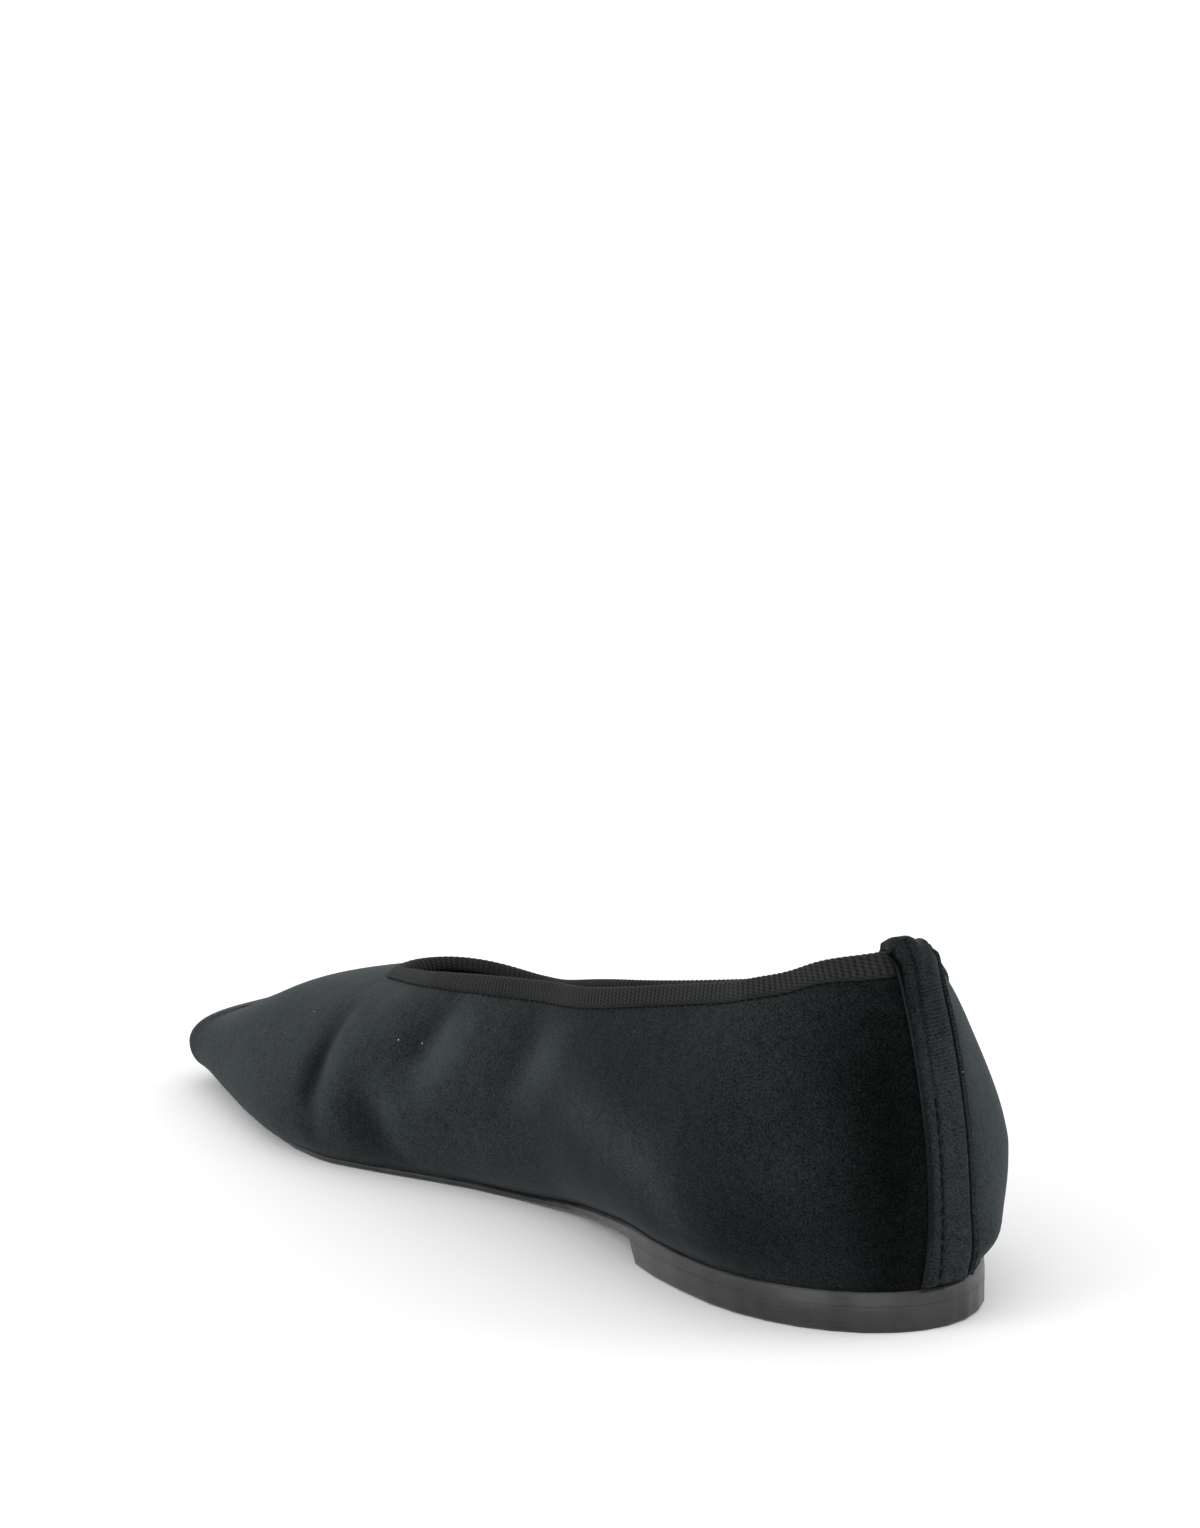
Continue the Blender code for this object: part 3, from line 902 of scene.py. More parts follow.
# Spots on the pile: painted shade on the inner back quarter and in two fold troughs, painted light on the toe's
# front, lighter or darker tone elsewhere.
PILE_TONE_AND_SHADE_SPOTS = (
    # painted shade: the inner back quarter, darkest where it faces the camera
    ToneSpot((3, 9, 36), (17, 13, 90), -0.41),
    ToneSpot((8, 12, 60), (6, 8, 8), 0.06),
    # painted shade in the troughs of two front folds
    ToneSpot((175, 32, 22), (6, 12, 14), -0.20),
    ToneSpot((157, 31, 10), (9, 12, 11), -0.13),
    ToneSpot((88, 23, 30), (24, 20, 40), -0.23),
    ToneSpot((60, 24, 34), (20, 20, 24), -0.12),
    ToneSpot((48, 24, 10), (26, 20, 12), -0.16),
    ToneSpot((42, 22, 46), (20, 20, 16), -0.12),
    ToneSpot((34, 29, 25), (14, 14, 16), -0.16),
    ToneSpot((19, 22, 38), (9, 14, 30), -0.07),
    ToneSpot((22, 25, 16), (12, 14, 12), -0.12),
    ToneSpot((4, -10, 14), (10, 10, 8), 0.10),
    ToneSpot((3, -13, 40), (8, 8, 30), 0.05),
    ToneSpot((215, 20, 20), (50, 60, 40), 0.09),
    # painted light on the toe's front
    ToneSpot((254, 6, 17), (7, 24, 9), 0.16),
    ToneSpot((12, -18, 34), (22, 12, 40), 0.26),
)
# painted highlights on the pile, mostly along the folds' ridges
PAINTED_HIGHLIGHT_STROKES = (
    HighlightStroke(((94, 23, 31), (79, 26, 28), (64, 28, 26), (51, 29, 23), (44, 28, 16)), 5.5, 0.24),
    HighlightStroke(((90, 22, 40), (97, 22, 35), (104, 22, 29), (110, 23, 22)), 4.4, 0.24),
    HighlightStroke(((168, 28, 28), (168, 31, 23), (168, 34, 18), (171, 35, 10)), 3.8, 0.34),
    HighlightStroke(((129, 21, 37), (134, 24, 31), (139, 26, 25), (145, 28, 20)), 5.0, 0.30),
    HighlightStroke(((152, 29, 22), (149, 29, 15), (145, 27, 8)), 3.0, 0.12),
)
NUDGES = (
    Nudge((8, -12, 69), (14, 6, 10), (5.4, 0.9, 0.0)),
    Nudge((5, -14, 46), (14, 8, 14), (1.5, 0.0, 0.0)),
    Nudge((4, -12, 14), (12, 7, 5), (-1.8, -0.6, 0.0)),
    Nudge((2, -12, 7.5), (12, 7, 3), (1.5, 0.0, 0.0)),
    Nudge((205, 28, 7), (27, 12, 9), (0.0, 1.6, -0.5)),
    Nudge((50, 26, 4), (26, 12, 12), (0.4, 1.0, 0.0)),
    Nudge((253, 7, 17), (7, 13, 7), (0.0, 0.0, -0.95)),
    Nudge((236, 10, 20), (8, 13, 8), (0.0, 0.0, 0.5)),
    Nudge((88, -25, 46), (14, 12, 8), (0.0, 0.0, 0.45)),
    Nudge((220, 12, 25), (18, 15, 10), (0.0, 0.0, 0.6)),
    Nudge((68, 26, 0), (7, 10, 3), (1.0, 0.4, 0.0)),
    Nudge((80, -25, 50), (45, 12, 9), (0.0, 0.0, 0.3)),
)
# On the sole edge and heel: the first two are painted highlights of the lamps on the glossy edge, the last
# parts them with a darker gap, the others darken the edge in places.
EDGE_LIGHT_AND_TONE_SPOTS = (
    ToneSpot((16, 19, 6.4), (3.6, 8, 1.6), 0.95),
    ToneSpot((5.5, 12.5, 6.4), (2.6, 6, 1.6), 0.80),
    ToneSpot((44, 25, 3), (18, 12, 9), -0.52),
    ToneSpot((1, -6, 4), (8, 6, 9), -0.26),
    ToneSpot((11, 16, 1), (16, 12, 2.6), -0.16),
    ToneSpot((10.5, 15.5, 6.4), (2.4, 4, 2.0), -0.20),
)


def nudge(piece: bpy.types.Object) -> None:
    """Moves a piece's points as the listed nudges say.

    Args:
        piece: the piece.
    """
    points = Bench.points(piece)
    shift = sum(one.shift(PLACE.shoe(points)) for one in NUDGES) * MM
    Bench.set_points(piece, points + np.stack([shift[:, 1], -shift[:, 0], shift[:, 2]], axis=1))


@dataclass
class VelvetUpper:
    """The velvet outside of the upper and the lining inside it."""

    velvet_depth: float = 0.0010
    lining_depth: float = 0.0006
    wall: float = 0.0018
    flat_angle: float = math.radians(52)
    foot_top: float = 14.0
    foot_drop: float = 0.00035
    rounds: int = 2
    folds: tuple[Fold, ...] = INNER_FOLDS + OUTER_FOLDS
    fold_shade: float = 0.19
    deepest_shaded: float = 1.2
    spots: tuple[ToneSpot | HighlightStroke, ...] = PILE_TONE_AND_SHADE_SPOTS + PAINTED_HIGHLIGHT_STROKES
    outside: bpy.types.Object = field(init=False)
    lining: bpy.types.Object = field(init=False)
    skin: BVHTree = field(init=False)
    rim: np.ndarray = field(init=False)
    rim_normals: np.ndarray = field(init=False)

    def sheets(self, piece: bpy.types.Object) -> tuple[set[int], set[int]]:
        """Finds the faces of the outer and of the inner sheet, which sharp edges part.

        Args:
            piece: the joined copy of the CAD upper.

        Returns:
            The face numbers of the outer sheet and of the inner one.
        """
        mesh = bmesh.new()
        mesh.from_mesh(piece.data)
        mesh.faces.ensure_lookup_table()
        groups: list[set[int]] = []
        seen: set[int] = set()
        for face in mesh.faces:
            if face.index in seen:
                continue
            group, queue = set(), [face]
            seen.add(face.index)
            while queue:
                here = queue.pop()
                group.add(here.index)
                for edge in here.edges:
                    if len(edge.link_faces) != 2 or edge.calc_face_angle(math.pi) > self.flat_angle:
                        continue
                    for other in edge.link_faces:
                        if other.index not in seen:
                            seen.add(other.index)
                            queue.append(other)
            groups.append(group)

        def width(group: set[int]) -> float:
            """How far a group of faces reaches to one side."""
            return max(abs(v.co.x) for n in group for v in mesh.faces[n].verts)

        inner, outer = sorted(sorted(groups, key=len)[-2:], key=width)
        mesh.free()
        log.info("upper sheets of %d and %d faces", len(outer), len(inner))
        return outer, inner

    def tuck(self, piece: bpy.types.Object) -> None:
        """Draws a sheet's lower edge down onto the sole.

        Args:
            piece: the sheet.
        """
        mesh = bmesh.new()
        mesh.from_mesh(piece.data)
        edge = {v.index for e in mesh.edges if len(e.link_faces) == 1 for v in e.verts}
        mesh.free()
        points = Bench.points(piece)
        low = np.isin(np.arange(len(points)), list(edge)) & (PLACE.shoe(points)[:, 2] < self.foot_top)
        points[low, 2] -= self.foot_drop
        Bench.set_points(piece, points)

    def crease(self, piece: bpy.types.Object, inward: float) -> None:
        """Presses the folds into a sheet and stores the pile's tone, with painted shade in the fold troughs and
        painted highlights on their ridges.

        Args:
            piece: the sheet.
            inward: -1 where its normals point out of the shoe and 1 where they point into it.
        """
        points = Bench.points(piece)
        shoe = PLACE.shoe(points)
        press = sum(fold.press(shoe) for fold in self.folds)
        Bench.set_points(piece, points + Bench.normals(piece) * press[:, None] * MM * inward)
        # painted shade in each fold's trough and a painted highlight on each ridge, by how deep it is pressed
        shaded = self.fold_shade * np.clip(press, -self.deepest_shaded, self.deepest_shaded)
        Bench.mark(piece, "pile_tone_and_painted_light", NAP + sum(spot.shade(shoe) for spot in self.spots) - shaded)

    def build(self) -> None:
        """Builds both sheets from the CAD upper's form."""
        self.outside = Bench.copy_of_node("upper", "velvet_upper")
        outer, inner = self.sheets(self.outside)
        self.lining = bpy.data.objects.new("lining", self.outside.data.copy())
        bpy.context.scene.collection.objects.link(self.lining)
        for piece, kept, inward in ((self.outside, outer, -1.0), (self.lining, inner, 1.0)):
            Bench.edit_faces(piece, lambda face: face.index not in kept)
            bpy.ops.mesh.delete(type="FACE")
            bpy.ops.object.mode_set(mode="OBJECT")
            Bench.subdivide(piece, self.rounds)
            self.tuck(piece)
            self.crease(piece, inward)
            nudge(piece)
        self.skin = Bench.tree(self.outside)
        self.rim, self.rim_normals = self.collar_line()
        for piece, depth in ((self.outside, self.velvet_depth), (self.lining, self.lining_depth)):
            Bench.thicken(piece, depth)
            Bench.smooth(piece)

    def collar_line(self) -> tuple[np.ndarray, np.ndarray]:
        """The collar's edge as an ordered loop of points, with the surface's normal at each.

        Returns:
            The points, in order, and the normals.
        """
        mesh = bmesh.new()
        mesh.from_mesh(self.outside.data)
        neighbours: dict[int, list[int]] = {}
        for edge in mesh.edges:
            if len(edge.link_faces) == 1:
                a, b = (v.index for v in edge.verts)
                neighbours.setdefault(a, []).append(b)
                neighbours.setdefault(b, []).append(a)
        mesh.verts.ensure_lookup_table()
        top = max(neighbours, key=lambda n: mesh.verts[n].co.z)
        loop = [top, neighbours[top][0]]
        while True:
            onward = [n for n in neighbours[loop[-1]] if n != loop[-2]]
            if onward[0] == loop[0]:
                break
            loop.append(onward[0])
        points = np.array([mesh.verts[n].co for n in loop])
        normals = np.array([mesh.verts[n].normal for n in loop])
        mesh.free()
        return points, normals

    def dress(self, velvet: bpy.types.Material, lining: bpy.types.Material) -> None:
        """Gives both sheets their finish.

        Args:
            velvet: the finish of the outside.
            lining: the finish of the lining.
        """
        self.outside.data.materials.append(velvet)
        self.lining.data.materials.append(lining)
        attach(self.outside, "root")
        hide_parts("upper")
        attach(self.lining, "root")


@dataclass
class StitchRow:
    """A row of sewn stitches lying on a surface."""

    name: str
    pitch: float
    length: float
    radius: float
    sunk: float = 0.35
    piece: bpy.types.Object = field(init=False)

    def model(self) -> bpy.types.Object:
        """Models one stitch, a short round thread that dips at both ends.

        Returns:
            The stitch, at the origin.
        """
        Bench.clear_selection()
        bpy.ops.mesh.primitive_uv_sphere_add(segments=8, ring_count=6, radius=1.0)
        stitch = bpy.context.object
        Bench.edit_all(stitch)
        bpy.ops.transform.rotate(value=math.pi / 2, orient_axis="Y", center_override=(0, 0, 0))
        bpy.ops.transform.resize(value=(self.length / 2, self.radius, self.radius))
        bpy.ops.object.mode_set(mode="OBJECT")
        Bench.smooth(stitch, math.radians(80))
        return stitch

    def lay(self, line: np.ndarray, normals: np.ndarray, closed: bool) -> None:
        """Lays the stitches along a line.

        Args:
            line: the line's points, in order.
            normals: the surface's normal at each.
            closed: whether the line meets itself.
        """
        if closed:
            line, normals = np.vstack([line, line[:1]]), np.vstack([normals, normals[:1]])
        length = np.concatenate([[0.0], np.cumsum(np.linalg.norm(np.diff(line, axis=0), axis=1))])

        def read(values: np.ndarray, where: float) -> np.ndarray:
            """A value some way along the line, which it doesn't leave."""
            held = min(max(where, 0.0), length[-1])
            return np.array([np.interp(held, length, values[:, k]) for k in range(3)])

        count = round(length[-1] / self.pitch)
        places = []
        for i in range(count):
            at = (i + 0.5) * length[-1] / count
            along = Vector(read(line, at + self.length / 2) - read(line, at - self.length / 2)).normalized()
            up = Vector(read(normals, at))
            up = (up - along * up.dot(along)).normalized()
            turn = Matrix((along, up.cross(along), up)).transposed().to_4x4()
            place = Vector(read(line, at)) + up * self.radius * (1 - 2 * self.sunk)
            places.append(Matrix.Translation(place) @ turn)
        self.piece = Bench.copies(self.name, self.model(), places)

    def dress(self, thread: bpy.types.Material, slot: str) -> None:
        """Gives the stitches their finish.

        Args:
            thread: the finish.
            slot: not used.
        """
        self.piece.data.materials.clear()
        self.piece.data.materials.append(thread)
        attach(self.piece, "root")


class RibbonPart(Enum):
    """The parts of the ribbon's section."""

    OUTER = "outer leg"
    FOLD = "fold over the collar's edge"
    INNER = "inner leg"


@dataclass
class RibbonBinding:
    """The grosgrain ribbon folded over the collar's edge, with the row of stitches that holds it."""

    outside_leg: float = 0.0033
    outside_shape: tuple[tuple[float, float], ...] = (
        (1.0, 0.15), (0.985, 0.5), (0.94, 0.8), (0.87, 0.75), (0.82, 1.0), (0.66, 1.0), (0.5, 1.0), (0.33, 1.0),
        (0.16, 1.0), (0.0, 1.0),
    )
    face_point: int = 4
    inside_leg: float = 0.0034
    inside_edge: float = 0.4
    thickness: float = 0.00048
    clearance: float = 0.00012
    crown: float = 0.00040
    rib_pitch: float = 0.00125
    rib_depth: float = 0.00020
    rib_slant: float = 0.5
    rib_roundness: float = 0.7
    between_ribs: float = 0.55
    selvage: float = 0.86
    wider_at_strip: float = 0.22
    thinner_at_strip: float = 0.75
    points_per_rib: int = 5
    stations: int = 260
    seam_drop: float = 0.00022
    far_pale: float = 0.7
    end_pale: float = 0.12
    piece: bpy.types.Object = field(init=False)
    foot: np.ndarray = field(init=False)
    foot_normals: np.ndarray = field(init=False)

    def section(self) -> list[tuple[RibbonPart, float, float]]:
        """The ribbon's section, once round.

        Returns:
            For each point its part, how far along that part it lies, in metres or radians, and its height.
        """
        top = self.thickness
        rows = [(RibbonPart.OUTER, self.outside_leg * share, top * part) for share, part in self.outside_shape]
        rows += [(RibbonPart.FOLD, math.radians(turn), top) for turn in (30, 60, 90, 120, 150)]
        rows += [(RibbonPart.INNER, self.inside_leg * share, top) for share in (0.0, 0.3, 0.6, 0.9)]
        rows += [(RibbonPart.INNER, self.inside_leg, top * self.inside_edge)]
        rows += [(RibbonPart.INNER, self.inside_leg * share, 0.0) for share in (1.0, 0.5, 0.0)]
        rows += [(RibbonPart.FOLD, math.radians(turn), 0.0) for turn in (135, 90, 45)]
        rows += [(RibbonPart.OUTER, self.outside_leg * share, 0.0) for share in (0.0, 0.5, 1.0)]
        return rows

    def build(self, upper: VelvetUpper) -> None:
        """Sweeps the section along the collar and raises its ribs.

        Args:
            upper: the finished upper, whose collar the ribbon follows.
        """
        line = resample(np.hstack([upper.rim, upper.rim_normals]), self.stations)
        rim = soften(line[:, :3], 2)
        normals = soften(line[:, 3:], 6)
        normals /= np.linalg.norm(normals, axis=1)[:, None]
        tangents = soften(np.roll(rim, -1, axis=0) - np.roll(rim, 1, axis=0), 3)
        tangents /= np.linalg.norm(tangents, axis=1)[:, None]
        downs = np.cross(normals, tangents)
        if downs[:, 2].sum() > 0:
            downs = -downs
        rings, feet, foot_normals = [], [], []
        for point, normal, down in zip(map(Vector, rim), map(Vector, normals), map(Vector, downs)):
            rings.append(self.ring(upper, point, normal, down))
            leg = self.outside_leg * self.widening(point) + self.seam_drop
            foot, out, _, _ = upper.skin.find_nearest(point + down * leg)
            feet.append(foot)
            foot_normals.append(out)
        self.foot, self.foot_normals = soften(np.array(feet), 2), soften(np.array(foot_normals), 2)
        coarse = soften(np.array(rings).reshape(self.stations, -1), 1)
        length = np.linalg.norm(np.diff(np.vstack([rim, rim[:1]]), axis=0), axis=1).sum()
        ribs = round(length / self.rib_pitch)
        count = ribs * self.points_per_rib
        self.raise_ribs(self.spread(coarse, count).reshape(count, -1, 3))
        log.info("ribbon of %d ribs", ribs)

    def thinning(self, point: Vector) -> float:
        """How much of the ribbon's thickness is left where it runs in under the back strip.

        Args:
            point: a place on the collar's edge.

        Returns:
            The share that is left there.
        """
        u, v, _ = PLACE.shoe(np.array([point]))[0]
        near = 1 - smooth_step(u, 6.0, 16.0)
        return float(1 - self.thinner_at_strip * near * smooth_step(-v, 2.0, 5.0))

    def widening(self, point: Vector) -> float:
        """How much wider the ribbon's outer leg is where it nears the back strip on the inner side.

        Args:
            point: a place on the collar's edge.

        Returns:
            The leg's width there, as a share of its usual one.
        """
        u, v, _ = PLACE.shoe(np.array([point]))[0]
        near = 1 - smooth_step(u, 6.0, 20.0)
        return float(1 + self.wider_at_strip * near * smooth_step(v, 0.0, 4.0))

    def ring(self, upper: VelvetUpper, point: Vector, normal: Vector, down: Vector) -> list[list[float]]:
        """Lays one section of the ribbon on the velvet.

        Args:
            upper: the finished upper.
            point: the section's place on the collar's edge.
            normal: the velvet's normal there.
            down: the way down the velvet from there.

        Returns:
            The section's points.
        """
        places = []
        middle = point - normal * upper.wall / 2
        for part, along, height in self.section():
            if part is RibbonPart.FOLD:
                side, lift = normal * math.cos(along), -down * math.sin(along)
                reach = upper.wall / 2 + self.clearance + height
                places.append(list(middle + side * reach + lift * (self.crown + height)))
                continue
            reach = along * self.widening(point) if part is RibbonPart.OUTER else along
            place, out, _, _ = upper.skin.find_nearest(point + down * reach)
            blend = min(1.0, along / (0.5 * self.outside_leg))
            out = (normal * (1 - blend) + out * blend).normalized()
            proud = (self.clearance + height) * self.thinning(point)
            depth = proud if part is RibbonPart.OUTER else -(upper.wall + self.clearance + height)
            places.append(list(place + out * depth))
        return places

    @staticmethod
    def spread(values: np.ndarray, count: int) -> np.ndarray:
        """Reads a closed line of values more finely, along a smooth curve through them.

        Args:
            values: one row for each place on the line.
            count: how many rows are wanted.

        Returns:
            The finer rows.
        """
        rows = len(values)
        where = np.linspace(0.0, rows, count, endpoint=False)
        base = np.floor(where).astype(int)
        t = (where - base)[:, None]
        p0, p1, p2, p3 = (values[(base + k) % rows] for k in (-1, 0, 1, 2))
        square = 2 * p0 - 5 * p1 + 4 * p2 - p3
        cube = 3 * p1 - p0 - 3 * p2 + p3
        return 0.5 * (2 * p1 + (p2 - p0) * t + square * t ** 2 + cube * t ** 3)

    def raise_ribs(self, grid: np.ndarray) -> None:
        """Lifts the ribs out of the ribbon's face and makes its mesh.

        Args:
            grid: the ribbon's points as sections x places x 3.
        """
        count = len(grid)
        section = self.section()
        across_grid = np.roll(grid, -1, axis=1) - np.roll(grid, 1, axis=1)
        onward = np.roll(grid, -1, axis=0) - np.roll(grid, 1, axis=0)
        out = np.cross(across_grid, onward)
        out /= np.linalg.norm(out, axis=2)[:, :, None] + 1e-12
        face = self.face_point
        if ((grid[:, face] - grid.mean(axis=1)) * out[:, face]).sum() < 0:
            out = -out
        steps = np.linalg.norm(np.diff(grid, axis=1, prepend=grid[:, :1]), axis=2).mean(axis=0)
        across = np.cumsum(steps) / MM
        lean = self.rib_slant * across / (self.outside_leg / MM)
        phase = np.arange(count)[:, None] / self.points_per_rib + lean[None, :]
        wave = np.abs(np.sin(np.pi * phase)) ** self.rib_roundness
        ribbed = np.array([
            height > 0 and not (part is RibbonPart.OUTER and along > self.outside_leg * self.selvage)
            for part, along, height in section
        ])
        grid = grid + out * ((wave - 0.5) * self.rib_depth * ribbed)[:, :, None]
        self.piece = Bench.from_grid("ribbon_binding", grid)
        # the rib's height, which the finish turns into painted shade in the valleys and light on the crests
        Bench.mark(self.piece, "rib", np.where(ribbed, wave, self.between_ribs).ravel())
        Bench.mark(self.piece, "across", np.broadcast_to(across, phase.shape).ravel())
        Bench.mark(self.piece, "along", phase.ravel())
        Bench.mark(self.piece, "pale", self.paleness(PLACE.shoe(grid.reshape(-1, 3)), count))
        Bench.edit_all(self.piece)
        bpy.ops.mesh.normals_make_consistent(inside=False)
        bpy.ops.object.mode_set(mode="OBJECT")
        Bench.smooth(self.piece, math.radians(60))

    def paleness(self, shoe: np.ndarray, count: int) -> np.ndarray:
        """How much paler each point is than the rest of the ribbon.

        Args:
            shoe: the ribbon's points in millimetres of u, v, w, section by section.
            count: how many sections there are.

        Returns:
            What is added to the tone: most on the far side's inner face, and a little at the front.
        """
        u, v, _ = shoe.T
        past_crown = math.radians(92)
        inside = [
            part is RibbonPart.INNER or (part is RibbonPart.FOLD and along > past_crown)
            for part, along, _ in self.section()
        ]
        far = smooth_step(-v, 4.0, 12.0) * np.tile(inside, count)
        front = smooth_step(u, 140.0, 165.0)
        back = 1 - smooth_step(u, 14.0, 50.0) - smooth_step(u, 50.0, 80.0)
        return self.far_pale * far + self.end_pale * (front + back * smooth_step(v, 0.0, 8.0))

    def sew(self, thread: bpy.types.Material) -> None:
        """Sews the ribbon down just under its outer edge.

        Args:
            thread: the thread's finish.
        """
        row = StitchRow("ribbon_stitches", pitch=0.0020, length=0.0016, radius=0.00016)
        row.lay(self.foot, self.foot_normals, closed=True)
        row.dress(thread, "ribbed_ribbon")

    def dress(self, ribbon: bpy.types.Material) -> None:
        """Gives the ribbon its finish.

        Args:
            ribbon: the finish.
        """
        self.piece.data.materials.append(ribbon)
        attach(self.piece, "root")
        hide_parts("topline_binding")


@dataclass
class BackStrip:
    """The velvet strip over the back seam, stitched down along both edges. Heights are millimetres of w."""

    rounds: int = 3
    edge_round: float = 0.00042
    lowest: float = 9.0
    highest: float = 63.0
    side_shift: float = -0.85
    settle: float = 0.12
    stitch_lines: tuple[float, float] = (2.5, -4.2)
    stitch_tops: tuple[float, float] = (43.0, 61.0)
    stitch_step: float = 0.5
    groove_depth: float = 0.20
    groove_width: float = 0.42
    groove_shade: float = 0.9
    edge_drop: float = 0.66
    thin_edge: tuple[float, float] = (3.4, 4.9)
    edge_shade: float = 0.34
    dark_edge: tuple[float, float] = (4.4, 4.95)
    top_dark: float = 0.12
    dark_top: tuple[float, float] = (46.0, 60.0)
    flare: float = 2.9
    flare_height: float = 26.0
    flare_from: float = 5.0
    tab_starts: float = 7.0
    tab_rises: float = 60.0
    roll_starts: float = 65.0
    roll_height: float = 2.6
    roll_middle: Triple = (8.5, 0.0, 67.0)
    roll_swell: float = 0.3
    roll_lift: float = 0.4
    roll_drop: float = 1.5
    roll_shift: float = 0.6
    roll_end: float = 0.42
    roll_end_reach: tuple[float, float] = (3.3, 5.2)
    crease_pitch: float = 0.00068
    crease_fades_in: tuple[float, float] = (40.0, 47.0)
    crease_fades_out: tuple[float, float] = (61.0, 65.0)
    crease_stops_aside: tuple[float, float] = (1.5, 3.0)
    piece: bpy.types.Object = field(init=False)

    def lean(self, v: np.ndarray, w: np.ndarray) -> np.ndarray:
        """How far the strip's foot spreads to the inner side, in millimetres."""
        foot = np.clip(1 - w / self.flare_height, 0.0, 1.0) ** 2
        return self.flare * foot * np.clip(v / self.flare_from, 0.0, 1.0)

    def seat(self, points: np.ndarray, skin: BVHTree) -> np.ndarray:
        """Slides the strip a little to the outer side, along the velvet.

        Args:
            points: the strip's points.
            skin: the finished velvet.

        Returns:
            The points in their new places.
        """
        bare = Bench.tree(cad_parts["upper"])
        moved = points.copy()
        for n, (_, v, w) in enumerate(PLACE.shoe(points)):
            height = min(max(w, self.lowest), self.highest)
            old, _ = PLACE.from_behind(bare, v, height)
            new, _ = PLACE.from_behind(skin, v + self.side_shift, height)
            if old is not None and new is not None:
                moved[n, 1] += new.y - old.y
        moved[:, 0] += self.side_shift * MM
        return moved

    def roll_over(self, points: np.ndarray, normals: np.ndarray, shoe: np.ndarray, behind: np.ndarray) -> None:
        """Swells the tab into a roll over the collar's edge and draws its ends in.

        Args:
            points: the strip's points, which are moved.
            normals: their normals.
            shoe: their first places in millimetres of u, v, w.
            behind: which of them lie behind the collar.
        """
        _, v, w = shoe.T
        roll = smooth_step(w, self.roll_starts, self.roll_starts + self.roll_height)
        roll = np.maximum(roll, (1 - behind) * smooth_step(w, self.tab_rises, self.tab_rises + 4.0))
        ends = roll * smooth_step(np.abs(v), *self.roll_end_reach)
        points += normals * (self.roll_swell * roll * (1 - ends))[:, None] * MM
        lift = self.roll_lift * (1 - ends) - self.roll_drop * smooth_step(-v, -1.4, 2.2)
        points[:, 2] += lift * MM * roll
        middle = np.array(PLACE.at(*self.roll_middle))
        points[:, 1:] += (middle[1:] - points[:, 1:]) * (self.roll_end * ends)[:, None]
        points[:, 0] += roll * self.roll_shift * MM

    def build(self, skin: BVHTree) -> None:
        """Rounds the CAD strip, presses its stitch lines and creases in and lays it on the velvet.

        Args:
            skin: the finished velvet.
        """
        self.piece = Bench.copy_of_node("back_strip", "back_seam_strip")
        Bench.bevel(self.piece, self.edge_round, math.radians(50))
        Bench.subdivide(self.piece, self.rounds, 0)
        points = Bench.points(self.piece)
        normals = Bench.normals(self.piece)
        shoe = PLACE.shoe(points)
        u, v, w = shoe.T
        behind = u < self.tab_starts
        grooves = [np.exp(-(((v - line) / self.groove_width) ** 2)) for line in self.stitch_lines]
        press = self.groove_depth * sum(grooves) * behind
        face = (normals[:, 1] > 0.2) & behind
        thin = (self.edge_drop * smooth_step(np.abs(v), *self.thin_edge) + self.settle) * face
        points -= normals * (press + thin)[:, None] * MM
        self.roll_over(points, normals, shoe, behind)
        points[:, 0] += self.lean(v, w) * MM
        Bench.set_points(self.piece, self.seat(points, skin))
        # painted shade in the stitch grooves and along the strip's inner edge; darker towards the top
        pile_tone_and_painted_light = NAP - self.groove_shade * press - self.top_dark * smooth_step(w, *self.dark_top)
        Bench.mark(self.piece, "pile_tone_and_painted_light", pile_tone_and_painted_light - self.edge_shade * smooth_step(v, *self.dark_edge) * behind)
        creased = smooth_step(w, *self.crease_fades_in) * (1 - smooth_step(w, *self.crease_fades_out))
        Bench.mark(self.piece, "creased", creased * (1 - smooth_step(v, *self.crease_stops_aside)) * behind)
        Bench.smooth(self.piece)

    def sew(self, thread: bpy.types.Material) -> None:
        """Sews the strip down along both of its stitch lines.

        Args:
            thread: the thread's finish.
        """
        skin = Bench.tree(self.piece)
        for number, (aside, top) in enumerate(zip(self.stitch_lines, self.stitch_tops)):
            spots, normals = [], []
            for height in np.arange(self.lowest, top, self.stitch_step):
                place, out = PLACE.from_behind(skin, aside + self.side_shift + self.lean(aside, height), height)
                if place is not None:
                    spots.append(place)
                    normals.append(out)
            row = StitchRow(f"strip_stitches_{number + 1}", pitch=0.0024, length=0.0018, radius=0.00020)
            row.lay(np.array(spots), np.array(normals), closed=False)
            row.dress(thread, "strip_velvet")

    def dress(self, velvet: bpy.types.Material) -> None:
        """Gives the strip its finish.

        Args:
            velvet: the finish.
        """
        self.piece.data.materials.append(velvet)
        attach(self.piece, "root")
        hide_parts("back_strip")


@dataclass(frozen=True)
class Joint:
    """The joint of outsole and heel on one of them, as heights in millimetres.

    edge is the ring of points that lies at the joint, side the ring next to it on the side wall, and at the
    joint itself.
    """

    edge: float
    side: float
    at: float


